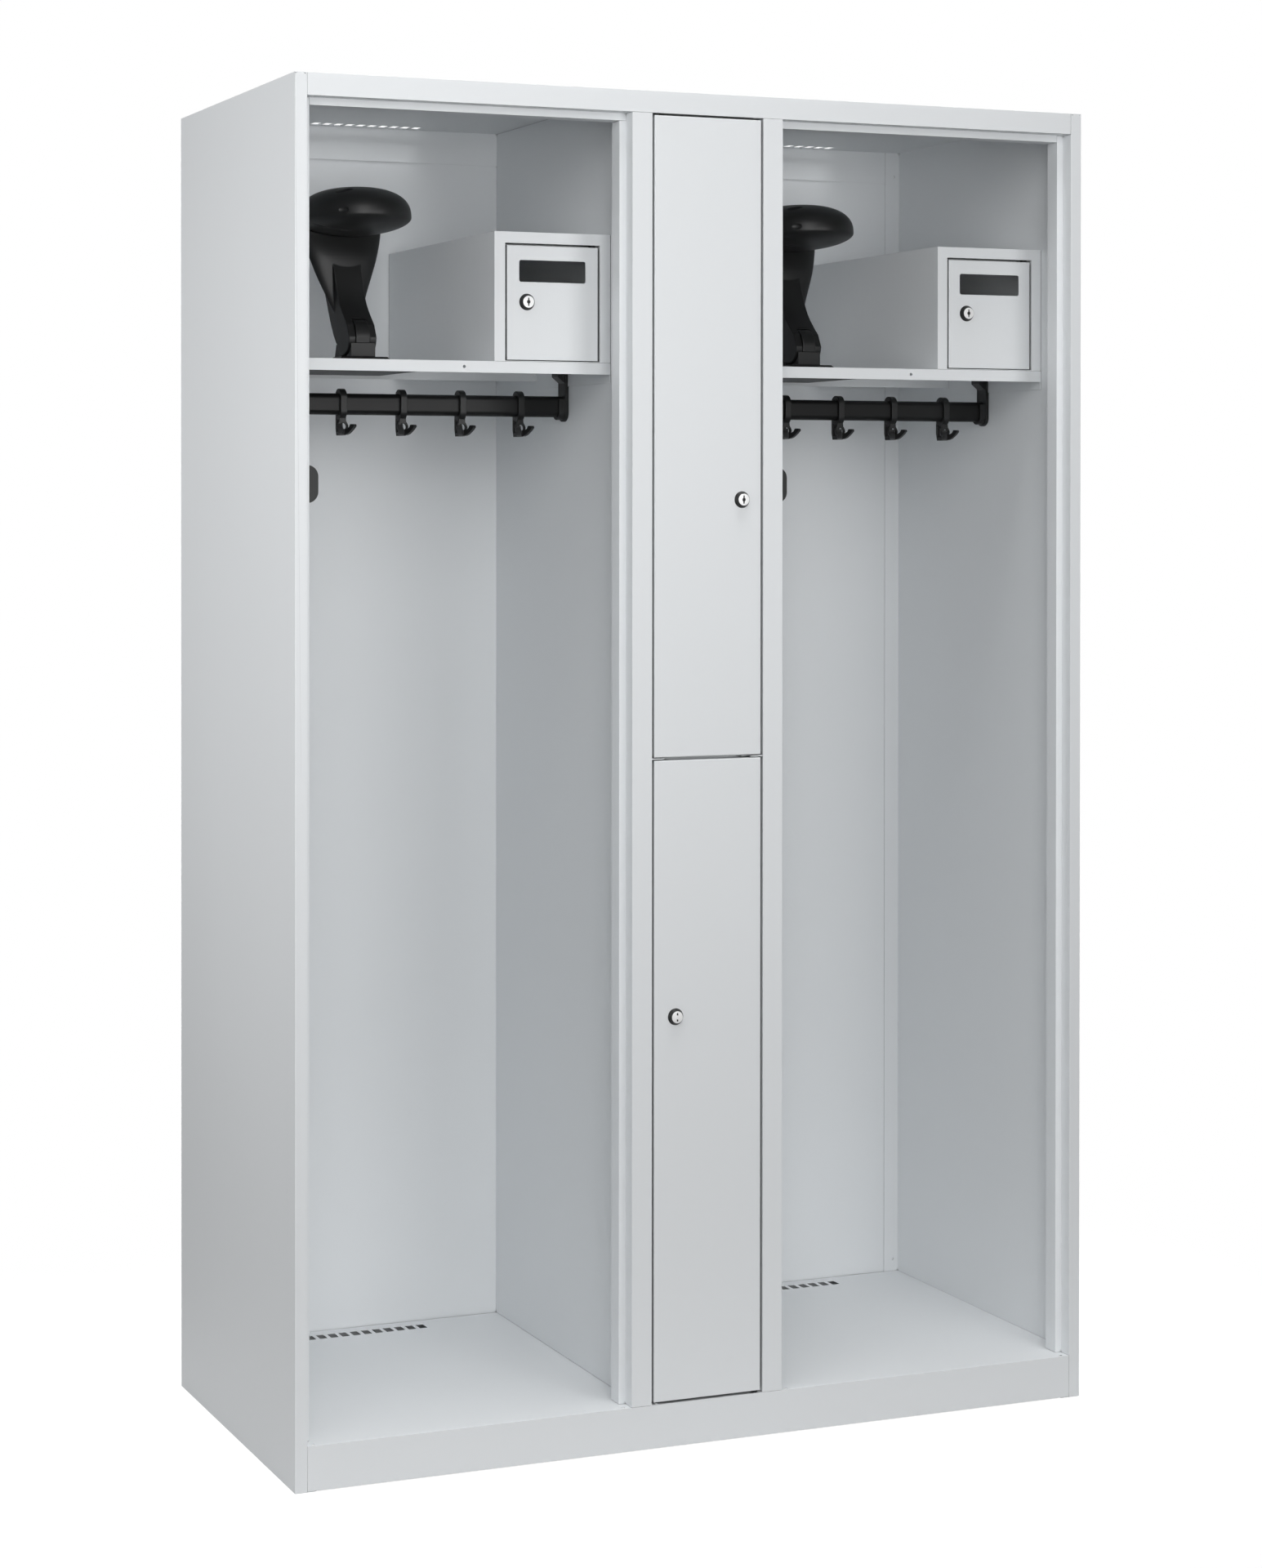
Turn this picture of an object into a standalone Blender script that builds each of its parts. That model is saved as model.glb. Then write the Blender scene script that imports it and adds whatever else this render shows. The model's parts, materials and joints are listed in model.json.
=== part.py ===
"""Gear locker for a fire station: two open bays with a narrow double door column between them.

Metres, +Z up. The origin is on the floor under the middle of the cabinet, the front faces -Y.
"""

import math

import bmesh
import bpy
from mathutils import Matrix, Vector

# Cabinet body
WIDTH = 1.200
DEPTH = 0.500
HEIGHT = 1.850
SHEET = 0.001
GAP = 0.0003
OVERRUN = 0.002
MIDDLE_WIDTH = 0.200
PLINTH_HEIGHT = 0.060
PLINTH_CLEARANCE = 0.001
TOP_RAIL_HEIGHT = 0.0295
STILE_WIDTH = 0.017
POST_WIDTH = 0.030
REBATE_DEPTH = 0.020
LIP_WIDTH = 0.010
FOLD_DEPTH = 0.024
REAR_FLANGE = 0.026
POST_REAR_FLANGE = 0.015
ROOF_REAR_FLANGE = 0.050
FOOT_FLANGE = 0.030
FLANGE_HOLE = 0.0045
FLANGE_HOLE_INSET = 0.0106
FLANGE_HOLE_FROM_TOP = 0.039
FLANGE_HOLE_FROM_FLOOR = 0.019
RELIEF_WIDTH = 0.0024
RELIEF_DEPTH = 0.0020
OUTER_RELIEF_FROM_SIDE = 0.0017
INNER_RELIEF_FROM_SIDE = 0.0141

# Ventilation slots in floor and roof
SLOT_COUNT = 14
SLOT_WIDTH = 0.012
SLOT_LENGTH = 0.020
SLOT_PITCH = 0.0176
FLOOR_SLOTS_FROM_BACK = 0.032
ROOF_SLOTS_FROM_BACK = 0.024
ROOF_SLOTS_LEFTWARD = 0.0055

# Door pivots
PIVOT_INSET = 0.010
PIVOT_DEPTH = 0.006
PIVOT_PIN = 0.0046
PIVOT_COLLAR = 0.0090
PIVOT_PLAY = 0.0004
PIVOT_REACH = 0.004

# Middle doors
DOOR_DEPTH = 0.018
DOOR_BEVEL = 0.0012
DOOR_BEVEL_SHARE = 0.5
DOOR_SIDE_GAP = 0.0035
DOOR_TOP_GAP = 0.0030
DOOR_BOTTOM_GAP = 0.0034
DOOR_MIDDLE_GAP = 0.0042
DOOR_SPLIT_HEIGHT = 0.941
DIVIDER_LIP = 0.020
DIVIDER_TAB_WIDTH = 0.018
DIVIDER_TAB_THICKNESS = 0.0016
UPPER_LOCK_FROM_EDGE = 0.0296
UPPER_LOCK_ABOVE_SPLIT = 0.3536
LOWER_LOCK_FROM_EDGE = 0.0321
LOWER_LOCK_BELOW_SPLIT = 0.3525

# Hat shelf
SHELF_FROM_TOP = 0.366
SHELF_SETBACK = 0.098
SHELF_DEPTH = 0.250
SHELF_LIP = 0.016
SHELF_FLANGE = 0.027
SHELF_HOLE = 0.0045
SHELF_HOLE_FROM_WALL = 0.220

# Value box
BOX_WIDTH = 0.175
BOX_HEIGHT = 0.1782
BOX_SETBACK = 0.001
BOX_STILE = 0.016
BOX_TOP_RAIL = 0.0155
BOX_STOP_LIP = 0.008
BOX_SIDE_GAP = 0.0030
BOX_TOP_GAP = 0.0030
BOX_BOTTOM_GAP = 0.0010
WINDOW_WIDTH = 0.100
WINDOW_HEIGHT = 0.030
WINDOW_RADIUS = 0.003
WINDOW_FROM_EDGE = 0.019
WINDOW_FROM_TOP = 0.020
BOX_LOCK_FROM_EDGE = 0.0294
BOX_LOCK_FROM_TOP = 0.0776

# Cylinder locks
ROSETTE_DIAMETER = 0.023
ROSETTE_FACE_DIAMETER = 0.0178
ROSETTE_HEIGHT = 0.0060
BARREL_DIAMETER = 0.0185
BARREL_LENGTH = 0.0205
PLUG_HEAD_DIAMETER = 0.0165
PLUG_HEAD_HEIGHT = 0.0007
PLUG_DIAMETER = 0.013
LOCK_PLAY = 0.00035
KEY_SLOT_HEIGHT = 0.011
KEY_SLOT_WIDTH = 0.0018
KEY_SLOT_DEPTH = 0.0022
SQUARE_SIZE = 0.0070
SQUARE_LENGTH = 0.0048
CAM_THICKNESS = 0.0020
CAM_WIDTH = 0.014
CAM_REACH = 0.031
CAM_TAIL = 0.009

# Clothes rail and its brackets
RAIL_HEIGHT = 0.030
RAIL_DEPTH = 0.015
RAIL_WALL = 0.0015
RAIL_BELOW_SHELF = 0.056
BRACKET_WIDTH = 0.025
BRACKET_PLATE = 0.005
BRACKET_REACH = 0.014
BRACKET_DROP = 0.0213
SOCKET_WALL = 0.0036
GUSSET_WIDTH = 0.011
GUSSET_HEIGHT = 0.012

# Sliding hooks
HOOK_COUNT = 5
HOOK_FROM_LEFT = 0.06525
HOOK_FROM_RIGHT = 0.07325
HOOK_WIDTH = 0.0087
HOOK_PLAY = 0.0004
HOOK_BAND = 0.0045
HOOK_CROWN = 0.0062
HOOK_DROP = 0.0436
HOOK_WEB = 0.0036
HOOK_STRAP = 0.0040
HOOK_STEP = 0.0003
HOOK_FOOT = 0.0050
HOOK_HEEL = 0.0030
HOOK_NECK_WIDTH = 0.0080
HOOK_EYE_DIAMETER = 0.0157
HOOK_EYE_HOLE = 0.0100
HOOK_EYE_THICKNESS = 0.0036
HOOK_EYE_SETBACK = 0.0048
HOOK_EYE_DROP = 0.0312
PRONG_REACH = 0.0233
PRONG_RISE = 0.0150
PRONG_WIDTH = 0.0045
PRONG_ROOT = 0.0020
PRONG_SPREAD_DEG = 25.0

# Side profile of a prong from its root, as shares of its reach and its rise
PRONG_SHARES = [
    (-0.12, 0.0),
    (0.26, 0.02),
    (0.47, 0.13),
    (0.65, 0.32),
    (0.85, 0.57),
    (1.0, 0.82),
    (0.96, 1.0),
    (0.68, 1.0),
    (0.58, 0.73),
    (0.39, 0.60),
    (-0.12, 0.53),
]

# Helmet holder
HELMET_FROM_WALL = 0.171
HINGE_FROM_SHELF_FRONT = 0.132
HINGE_HEIGHT = 0.036
HINGE_PIN = 0.006
HINGE_PLAY = 0.0004
TONGUE_WIDTH = 0.020
TONGUE_RADIUS = 0.026
EAR_RADIUS = 0.025
EAR_SPAN = 0.041
BLOCK_WIDTH = 0.036
BLOCK_FRONT = 0.026
BLOCK_REAR = 0.043
BLOCK_REAR_TOP = 0.0335
BLOCK_TOP = 0.0276
FOOT_HEIGHT = 0.0084
FOOT_BEVEL = 0.0084
FOOT_HALF_WIDTH = 0.042
FOOT_REAR_HALF_WIDTH = 0.029
FOOT_FRONT = 0.040
FOOT_REAR = 0.052
FOOT_TAPER_START = 0.002
EAR_PLAY = 0.0004
EAR_SKIN = 0.0015
EAR_END_DEG = 340
POCKET_PLAY = 0.0020
SLOT_PLAY = 0.0020
DOME_HALF_WIDTH = 0.0775
DOME_HALF_DEPTH = 0.094
DOME_SETBACK = 0.010
DOME_RIM_HEIGHT = 0.202
DOME_CROWN = 0.043
DOME_UNDERSIDE = 0.023
DOME_CROWN_POWER = 2.5
DOME_UNDERSIDE_POWER = 1.85
NECK_TOP_HALF_WIDTH = 0.060
NECK_TOP_HALF_DEPTH = 0.018
NECK_TOP_SETBACK = 0.066
NECK_TOP_HEIGHT = 0.182
NECK_END_HEIGHT = 0.200

# Side profile of the holder's arm as shares of the ear's radius, from the hinge: front edge upwards
ARM_FRONT_SHARES = [
    (-0.64, 0.72),
    (0, 1.32),
    (0.44, 1.80),
    (0.80, 2.28),
    (1.0, 2.68),
    (1.64, 4.20),
    (2.0, 5.20),
]
# Rear edge of the same profile, downwards
ARM_REAR_SHARES = [(2.96, 5.20), (3.12, 3.68), (2.96, 2.60), (2.02, 0.88), (1.55, 0.20), (1.07, -0.32)]
# Neck sections upwards, as shares of the top one: half width, half depth, distance behind the hinge, height
NECK_SHARES = [
    (0.22, 0.30, 0.36, 0.36),
    (0.34, 0.45, 0.515, 0.396),
    (0.525, 0.61, 0.68, 0.555),
    (0.70, 0.76, 0.78, 0.70),
    (0.85, 0.89, 0.85, 0.84),
    (1.0, 1.0, 1.0, 1.0),
]

# Side hook on the left wall of each bay
TAB_SETBACK = 0.052
TAB_THICKNESS = 0.008
TAB_REACH = 0.050
TAB_HEIGHT = 0.050
TAB_RADIUS = 0.015
TAB_BELOW_RAIL = 0.113
TAB_PLATE = 0.003
TAB_PLATE_DEPTH = 0.026

# Finishes: colour, metallic, roughness
FINISHES = {
    "grey_powder_coat": ((0.70, 0.72, 0.73), 0.0, 0.45),
    "black_plastic": ((0.022, 0.023, 0.024), 0.0, 0.42),
    "black_tube": ((0.030, 0.031, 0.032), 0.0, 0.35),
    "bright_steel": ((0.78, 0.79, 0.80), 1.0, 0.25),
    "zinc_steel": ((0.55, 0.56, 0.57), 1.0, 0.40),
}

# Steeper edges than this stay sharp when a round piece is shaded
SHARP_ANGLE_DEG = 35

# Numbers of facets
ROUND_STEPS = 16
FINE_STEPS = 28
HOOK_STEPS = 12
CORNER_STEPS = 4
CROWN_STEPS = 7

# Places worked out from the sizes above
HALF_SHEET = SHEET / 2
LEFT = -WIDTH / 2
FRONT = -DEPTH / 2
BACK = DEPTH / 2
BACK_INNER = BACK - SHEET - GAP
FLANGE_FRONT = BACK_INNER - SHEET
DEEPEST = FLANGE_FRONT - GAP
FLOOR_TOP = PLINTH_HEIGHT
ROOF_UNDERSIDE = HEIGHT - SHEET
OPENING_TOP = HEIGHT - TOP_RAIL_HEIGHT
LIP_FRONT = FRONT + REBATE_DEPTH
LIP_BACK = LIP_FRONT + SHEET
FOLD_END = LIP_FRONT + FOLD_DEPTH
PARTITION_X = MIDDLE_WIDTH / 2
BAY_WIDTH = WIDTH / 2 - SHEET - PARTITION_X - HALF_SHEET
BAY_CENTRE = PARTITION_X + HALF_SHEET + BAY_WIDTH / 2
PIVOT_Y = FRONT + PIVOT_DEPTH
DOOR_HALF_OPENING = PARTITION_X - POST_WIDTH / 2
DOOR_HALF_WIDTH = DOOR_HALF_OPENING - DOOR_SIDE_GAP
SHELF_TOP = HEIGHT - SHELF_FROM_TOP
SHELF_FRONT = FRONT + SHELF_SETBACK
SHELF_REAR = SHELF_FRONT + SHELF_DEPTH
BOX_FRONT = SHELF_FRONT + BOX_SETBACK
BOX_RIGHT = BAY_WIDTH / 2 - GAP
BOX_LEFT = BOX_RIGHT - BOX_WIDTH
BOX_BOTTOM = SHELF_TOP + GAP
BOX_TOP = SHELF_TOP + BOX_HEIGHT
RAIL_Y = (FRONT + BACK) / 2
RAIL_Z = SHELF_TOP - RAIL_BELOW_SHELF
HOOK_FIRST_X = HOOK_FROM_LEFT - BAY_WIDTH / 2
HOOK_PITCH = (BAY_WIDTH - HOOK_FROM_LEFT - HOOK_FROM_RIGHT) / (HOOK_COUNT - 1)
TAB_FRONT = FRONT + TAB_SETBACK
TAB_CENTRE_Z = RAIL_Z - TAB_BELOW_RAIL
HINGE_Y = SHELF_FRONT + HINGE_FROM_SHELF_FRONT
HINGE_Z = SHELF_TOP + HINGE_HEIGHT
DOME_Y = HINGE_Y + DOME_SETBACK
HELMET_X = HELMET_FROM_WALL - BAY_WIDTH / 2
DOME_RIM_Z = SHELF_TOP + DOME_RIM_HEIGHT


def make_materials():
    """One Principled material for each finish."""
    materials = {}
    for name, (colour, metallic, roughness) in FINISHES.items():
        material = bpy.data.materials.new(name)
        material.use_nodes = True
        shader = material.node_tree.nodes["Principled BSDF"]
        shader.inputs["Base Color"].default_value = (*colour, 1.0)
        shader.inputs["Metallic"].default_value = metallic
        shader.inputs["Roughness"].default_value = roughness
        materials[name] = material
    return materials


def object_from(name, shape):
    """An object from a bmesh, with its faces turned outwards."""
    bmesh.ops.recalc_face_normals(shape, faces=shape.faces)
    mesh = bpy.data.meshes.new(name)
    shape.to_mesh(mesh)
    shape.free()
    piece = bpy.data.objects.new(name, mesh)
    bpy.context.scene.collection.objects.link(piece)
    return piece


def between(first, second):
    """Two values in rising order."""
    return min(first, second), max(first, second)


def prism(outline, axis, low, high):
    """A closed outline pushed along an axis. Its points are (x, y) for Z, (y, z) for X and (x, z) for Y."""
    order = {"X": (2, 0, 1), "Y": (0, 2, 1), "Z": (0, 1, 2)}[axis]
    shape = bmesh.new()
    rings = []
    for level in (low, high):
        ring = []
        for point in outline:
            values = (*point, level)
            ring.append(shape.verts.new([values[place] for place in order]))
        rings.append(ring)
    shape.faces.new(rings[0])
    shape.faces.new(rings[1])
    count = len(outline)
    for index in range(count):
        following = (index + 1) % count
        shape.faces.new((rings[0][index], rings[0][following], rings[1][following], rings[1][index]))
    return object_from("prism", shape)


def block(low, high):
    """A box between two opposite corners."""
    outline = [(low[0], low[1]), (high[0], low[1]), (high[0], high[1]), (low[0], high[1])]
    return prism(outline, "Z", low[2], high[2])


def loft(rings):
    """A closed solid through rings that have the same number of points."""
    shape = bmesh.new()
    levels = [[shape.verts.new(point) for point in ring] for ring in rings]
    shape.faces.new(levels[0])
    shape.faces.new(levels[-1])
    for lower, upper in zip(levels, levels[1:]):
        for index in range(len(lower)):
            following = (index + 1) % len(lower)
            shape.faces.new((lower[index], lower[following], upper[following], upper[index]))
    return object_from("loft", shape)


def arc(centre, radius, start_deg, end_deg, steps):
    """Points along an arc, both ends included. A pair of radii makes it elliptic."""
    across, along = radius if isinstance(radius, tuple) else (radius, radius)
    points = []
    for step in range(steps + 1):
        angle = math.radians(start_deg + (end_deg - start_deg) * step / steps)
        points.append((centre[0] + across * math.cos(angle), centre[1] + along * math.sin(angle)))
    return points


def circle(centre, diameter, steps=ROUND_STEPS):
    return arc(centre, diameter / 2, 0, 360, steps)[:-1]


def upright_oval(centre, half_width, half_height, steps=ROUND_STEPS):
    """A slot shape that stands upright: two half circles joined by straight sides."""
    rise = half_height - half_width
    top = arc((centre[0], centre[1] + rise), half_width, 0, 180, steps // 2)
    bottom = arc((centre[0], centre[1] - rise), half_width, 180, 360, steps // 2)
    return top + bottom


def rounded_rectangle(low, high, radius, steps=CORNER_STEPS):
    left, right = low[0] + radius, high[0] - radius
    bottom, top = low[1] + radius, high[1] - radius
    points = []
    for turn, centre in enumerate(((right, top), (left, top), (left, bottom), (right, bottom))):
        points += arc(centre, radius, 90 * turn, 90 * turn + 90, steps)
    return points


def folded_sheet(path, thickness=SHEET):
    """The outline of a sheet that is folded along a centre line, with mitred corners."""
    half = thickness / 2
    left_side, right_side = [], []
    for index, point in enumerate(path):
        here = Vector(point)
        before = (here - Vector(path[index - 1])).normalized() if index else None
        after = (Vector(path[index + 1]) - here).normalized() if index + 1 < len(path) else None
        first, second = before or after, after or before
        normals = [Vector((-run.y, run.x)) for run in (first, second)]
        mitre = normals[0] + normals[1]
        offset = mitre * (2 * half / mitre.length_squared)
        left_side.append(tuple(here + offset))
        right_side.append(tuple(here - offset))
    return left_side + right_side[::-1]


def combine(base, tools, operation):
    """Joins, cuts or intersects with EXACT Booleans, and leaves one plain mesh."""
    for tool in tools:
        modifier = base.modifiers.new(operation.title(), "BOOLEAN")
        modifier.operation = operation
        modifier.solver = "EXACT"
        modifier.object = tool
    bpy.context.view_layer.update()
    graph = bpy.context.evaluated_depsgraph_get()
    mesh = bpy.data.meshes.new_from_object(base.evaluated_get(graph))
    base.modifiers.clear()
    base.data = mesh
    for tool in tools:
        bpy.data.objects.remove(tool)
    return base


def join(base, *tools):
    return combine(base, tools, "UNION")


def cut(base, *tools):
    return combine(base, tools, "DIFFERENCE")


def finish(piece, name, finish_name, smooth=False):
    """Names a piece, gives it its material and, if it is round, smooth shading."""
    piece.name = name
    piece.data.name = name
    piece.data.materials.clear()
    piece.data.materials.append(MATERIALS[finish_name])
    if smooth:
        piece.data.shade_smooth()
        piece.data.set_sharp_from_angle(angle=math.radians(SHARP_ANGLE_DEG))
    return piece


def shift(piece, offset):
    """Moves a piece, keeping its mesh in its own place."""
    piece.location = Vector(piece.location) + Vector(offset)
    return piece


def axis_empty(name, location):
    """An empty on a joint's axis, which carries the pieces that turn or slide there."""
    empty = bpy.data.objects.new(name, None)
    bpy.context.scene.collection.objects.link(empty)
    empty.location = location
    return empty


def carry(empty, *pieces):
    """Parents pieces to an empty that has no turn of its own, and leaves them where they are."""
    for piece in pieces:
        piece.parent = empty
        piece.matrix_parent_inverse = Matrix.Translation(-empty.location)


def build_side_panel(name, mirrored):
    """Outer wall with front flange, door rebate, rear flange and foot flange."""
    outer = LEFT + HALF_SHEET
    inner = LEFT + STILE_WIDTH - HALF_SHEET
    lip_end = LEFT + STILE_WIDTH + LIP_WIDTH - HALF_SHEET
    shell_path = [
        (LEFT + STILE_WIDTH, FRONT + HALF_SHEET),
        (outer, FRONT + HALF_SHEET),
        (outer, FLANGE_FRONT + HALF_SHEET),
        (LEFT + REAR_FLANGE, FLANGE_FRONT + HALF_SHEET),
    ]
    rebate_path = [
        (inner, FRONT + HALF_SHEET),
        (inner, LIP_FRONT + HALF_SHEET),
        (lip_end, LIP_FRONT + HALF_SHEET),
        (lip_end, FOLD_END),
    ]
    panel = prism(folded_sheet(shell_path), "Z", 0, HEIGHT)
    rebate = prism(folded_sheet(rebate_path), "Z", FLOOR_TOP + GAP, OPENING_TOP - GAP)
    foot = block((outer, FRONT + HALF_SHEET, 0), (LEFT + FOOT_FLANGE, FLANGE_FRONT + HALF_SHEET, SHEET))
    join(panel, rebate, foot)
    hole_x = LEFT + FLANGE_HOLE_INSET
    for height in (HEIGHT - FLANGE_HOLE_FROM_TOP, FLOOR_TOP + FLANGE_HOLE_FROM_FLOOR):
        hole = circle((hole_x, height), FLANGE_HOLE, ROUND_STEPS // 2)
        cut(panel, prism(hole, "Y", FLANGE_FRONT - OVERRUN, BACK))
    for distance in (OUTER_RELIEF_FROM_SIDE, INNER_RELIEF_FROM_SIDE):
        low = (LEFT + distance - RELIEF_WIDTH / 2, FRONT - OVERRUN, HEIGHT - RELIEF_DEPTH)
        high = (LEFT + distance + RELIEF_WIDTH / 2, FRONT + SHEET + OVERRUN, HEIGHT + OVERRUN)
        cut(panel, block(low, high))
    if mirrored:
        panel.data.transform(Matrix.Scale(-1, 4, (1, 0, 0)))
        panel.data.flip_normals()
    return finish(panel, name, "grey_powder_coat")


def build_partition(name, side):
    """Upright wall with a post at its front that has a door rebate on both sides.

    The wall reaches up to the roof, with a notch for the roof's front rail.
    """
    middle = side * PARTITION_X
    half_post = POST_WIDTH / 2
    post_path = []
    for turn in (-1, 1):
        arm = [
            (middle + turn * (half_post - HALF_SHEET), FRONT + HALF_SHEET),
            (middle + turn * (half_post - HALF_SHEET), LIP_FRONT + HALF_SHEET),
            (middle + turn * (half_post + LIP_WIDTH - HALF_SHEET), LIP_FRONT + HALF_SHEET),
        ]
        if turn == side:
            arm.append((middle + turn * (half_post + LIP_WIDTH - HALF_SHEET), FOLD_END))
        post_path += arm[::-1] if turn < 0 else arm
    bottom, top = FLOOR_TOP + GAP, ROOF_UNDERSIDE - GAP
    post = prism(folded_sheet(post_path), "Z", bottom, OPENING_TOP - GAP)
    rail_low = OPENING_TOP - LIP_WIDTH - GAP
    reach = half_post + LIP_WIDTH + OVERRUN
    cut(post, block((middle - reach, LIP_FRONT - GAP, rail_low), (middle + reach, FOLD_END + GAP, HEIGHT)))
    web_path = [(middle, FRONT + HALF_SHEET), (middle, FLANGE_FRONT + HALF_SHEET)]
    web_path.append((middle - side * POST_REAR_FLANGE, FLANGE_FRONT + HALF_SHEET))
    web = prism(folded_sheet(web_path), "Z", bottom, top)
    face_rear, shelf_top = FRONT + SHEET + GAP, OPENING_TOP + SHEET + GAP
    for front, rear, low, high in (
        (FRONT - OVERRUN, face_rear, OPENING_TOP - GAP, HEIGHT),
        (FRONT - OVERRUN, LIP_BACK + GAP, OPENING_TOP - GAP, shelf_top),
        (LIP_FRONT - GAP, LIP_BACK + GAP, rail_low, shelf_top),
        (LIP_FRONT - GAP, FOLD_END + GAP, rail_low, rail_low + SHEET + 2 * GAP),
    ):
        cut(web, block((middle - reach, front, low), (middle + reach, rear, high)))
    join(post, web)
    rear_top = HEIGHT - ROOF_REAR_FLANGE - GAP
    cut(post, block((middle - reach, FLANGE_FRONT - GAP, rear_top), (middle + reach, BACK, HEIGHT)))
    return finish(post, name, "grey_powder_coat")


def slot_cutters(from_back, level, leftward=0.0):
    """One row of ventilation slots in each bay, in its middle or a little to the left of it."""
    cutters = []
    for side in (-1, 1):
        for index in range(SLOT_COUNT):
            middle = side * BAY_CENTRE - leftward + (index - (SLOT_COUNT - 1) / 2) * SLOT_PITCH
            low = (middle - SLOT_WIDTH / 2, BACK - from_back - SLOT_LENGTH / 2, level - OVERRUN)
            high = (middle + SLOT_WIDTH / 2, BACK - from_back + SLOT_LENGTH / 2, level + OVERRUN)
            cutters.append(block(low, high))
    return cutters


def pivot_holes(level, spread):
    """Holes for door pivots, in a level sheet at the front corners of the openings."""
    cutters = []
    for place in spread:
        hole = circle((place, PIVOT_Y), PIVOT_PIN + 2 * PIVOT_PLAY, ROUND_STEPS // 2)
        cutters.append(prism(hole, "Z", level - OVERRUN, level + OVERRUN))
    return cutters


def opening_corners():
    """The pivot places of every door opening, from left to right."""
    outer = WIDTH / 2 - STILE_WIDTH - PIVOT_INSET
    bay_inner = PARTITION_X + POST_WIDTH / 2 + PIVOT_INSET
    middle = DOOR_HALF_OPENING - PIVOT_INSET
    return [side * place for side in (-1, 1) for place in (outer, bay_inner, middle)]


def build_roof():
    """Top sheet with the front rail, its rebate lip and a rear flange."""
    across = WIDTH / 2 - SHEET - GAP
    rail_across = WIDTH / 2 - STILE_WIDTH - GAP
    lip_across = rail_across - LIP_WIDTH
    rear_across = WIDTH / 2 - REAR_FLANGE - GAP
    lip_bottom = OPENING_TOP - LIP_WIDTH
    roof = block((-across, FRONT + SHEET + GAP, ROOF_UNDERSIDE), (across, DEEPEST, HEIGHT))
    rail_path = [
        (FRONT + 2 * SHEET, HEIGHT - HALF_SHEET),
        (FRONT + HALF_SHEET, HEIGHT - HALF_SHEET),
        (FRONT + HALF_SHEET, OPENING_TOP + HALF_SHEET),
        (LIP_FRONT + HALF_SHEET, OPENING_TOP + HALF_SHEET),
    ]
    lip_path = [
        (LIP_FRONT + HALF_SHEET, OPENING_TOP + HALF_SHEET),
        (LIP_FRONT + HALF_SHEET, lip_bottom + HALF_SHEET),
        (FOLD_END, lip_bottom + HALF_SHEET),
    ]
    rear_path = [
        (DEEPEST - OVERRUN, HEIGHT - HALF_SHEET),
        (FLANGE_FRONT + HALF_SHEET, HEIGHT - HALF_SHEET),
        (FLANGE_FRONT + HALF_SHEET, HEIGHT - ROOF_REAR_FLANGE),
    ]
    rail = prism(folded_sheet(rail_path), "X", -rail_across, rail_across)
    lip = prism(folded_sheet(lip_path), "X", -lip_across, lip_across)
    rear = prism(folded_sheet(rear_path), "X", -rear_across, rear_across)
    join(roof, rail, lip, rear)
    cut(roof, *slot_cutters(ROOF_SLOTS_FROM_BACK, HEIGHT - HALF_SHEET, ROOF_SLOTS_LEFTWARD))
    cut(roof, *pivot_holes(OPENING_TOP + HALF_SHEET, opening_corners()))
    return finish(roof, "roof_panel", "grey_powder_coat")


def build_floor():
    """Bottom sheet with the plinth folded down at its front and a stiffening flange at its rear."""
    across = WIDTH / 2 - SHEET - GAP
    plinth_across = WIDTH / 2 - STILE_WIDTH - GAP
    rear_across = WIDTH / 2 - REAR_FLANGE - GAP
    floor = block((-across, FRONT + SHEET + GAP, FLOOR_TOP - SHEET), (across, DEEPEST, FLOOR_TOP))
    plinth_path = [
        (FRONT + 2 * SHEET, FLOOR_TOP - HALF_SHEET),
        (FRONT + HALF_SHEET, FLOOR_TOP - HALF_SHEET),
        (FRONT + HALF_SHEET, PLINTH_CLEARANCE + HALF_SHEET),
        (FRONT + REBATE_DEPTH, PLINTH_CLEARANCE + HALF_SHEET),
    ]
    rear_path = [
        (DEEPEST - HALF_SHEET, FLOOR_TOP - HALF_SHEET),
        (DEEPEST - HALF_SHEET, FLOOR_TOP - PLINTH_HEIGHT / 2),
    ]
    plinth = prism(folded_sheet(plinth_path), "X", -plinth_across, plinth_across)
    rear = prism(folded_sheet(rear_path), "X", -rear_across, rear_across)
    join(floor, plinth, rear)
    foot_across = WIDTH / 2 - FOOT_FLANGE - GAP
    above = PLINTH_CLEARANCE + SHEET + OVERRUN
    for side in (-1, 1):
        low, high = between(side * foot_across, side * WIDTH)
        cut(floor, block((low, FRONT + SHEET + GAP, -OVERRUN), (high, BACK, above)))
    cut(floor, *slot_cutters(FLOOR_SLOTS_FROM_BACK, FLOOR_TOP - HALF_SHEET))
    cut(floor, *pivot_holes(FLOOR_TOP - HALF_SHEET, opening_corners()))
    return finish(floor, "floor_panel", "grey_powder_coat")


def build_back():
    back = block((LEFT, BACK - SHEET, 0), (-LEFT, BACK, HEIGHT))
    return finish(back, "back_panel", "grey_powder_coat")


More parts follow.
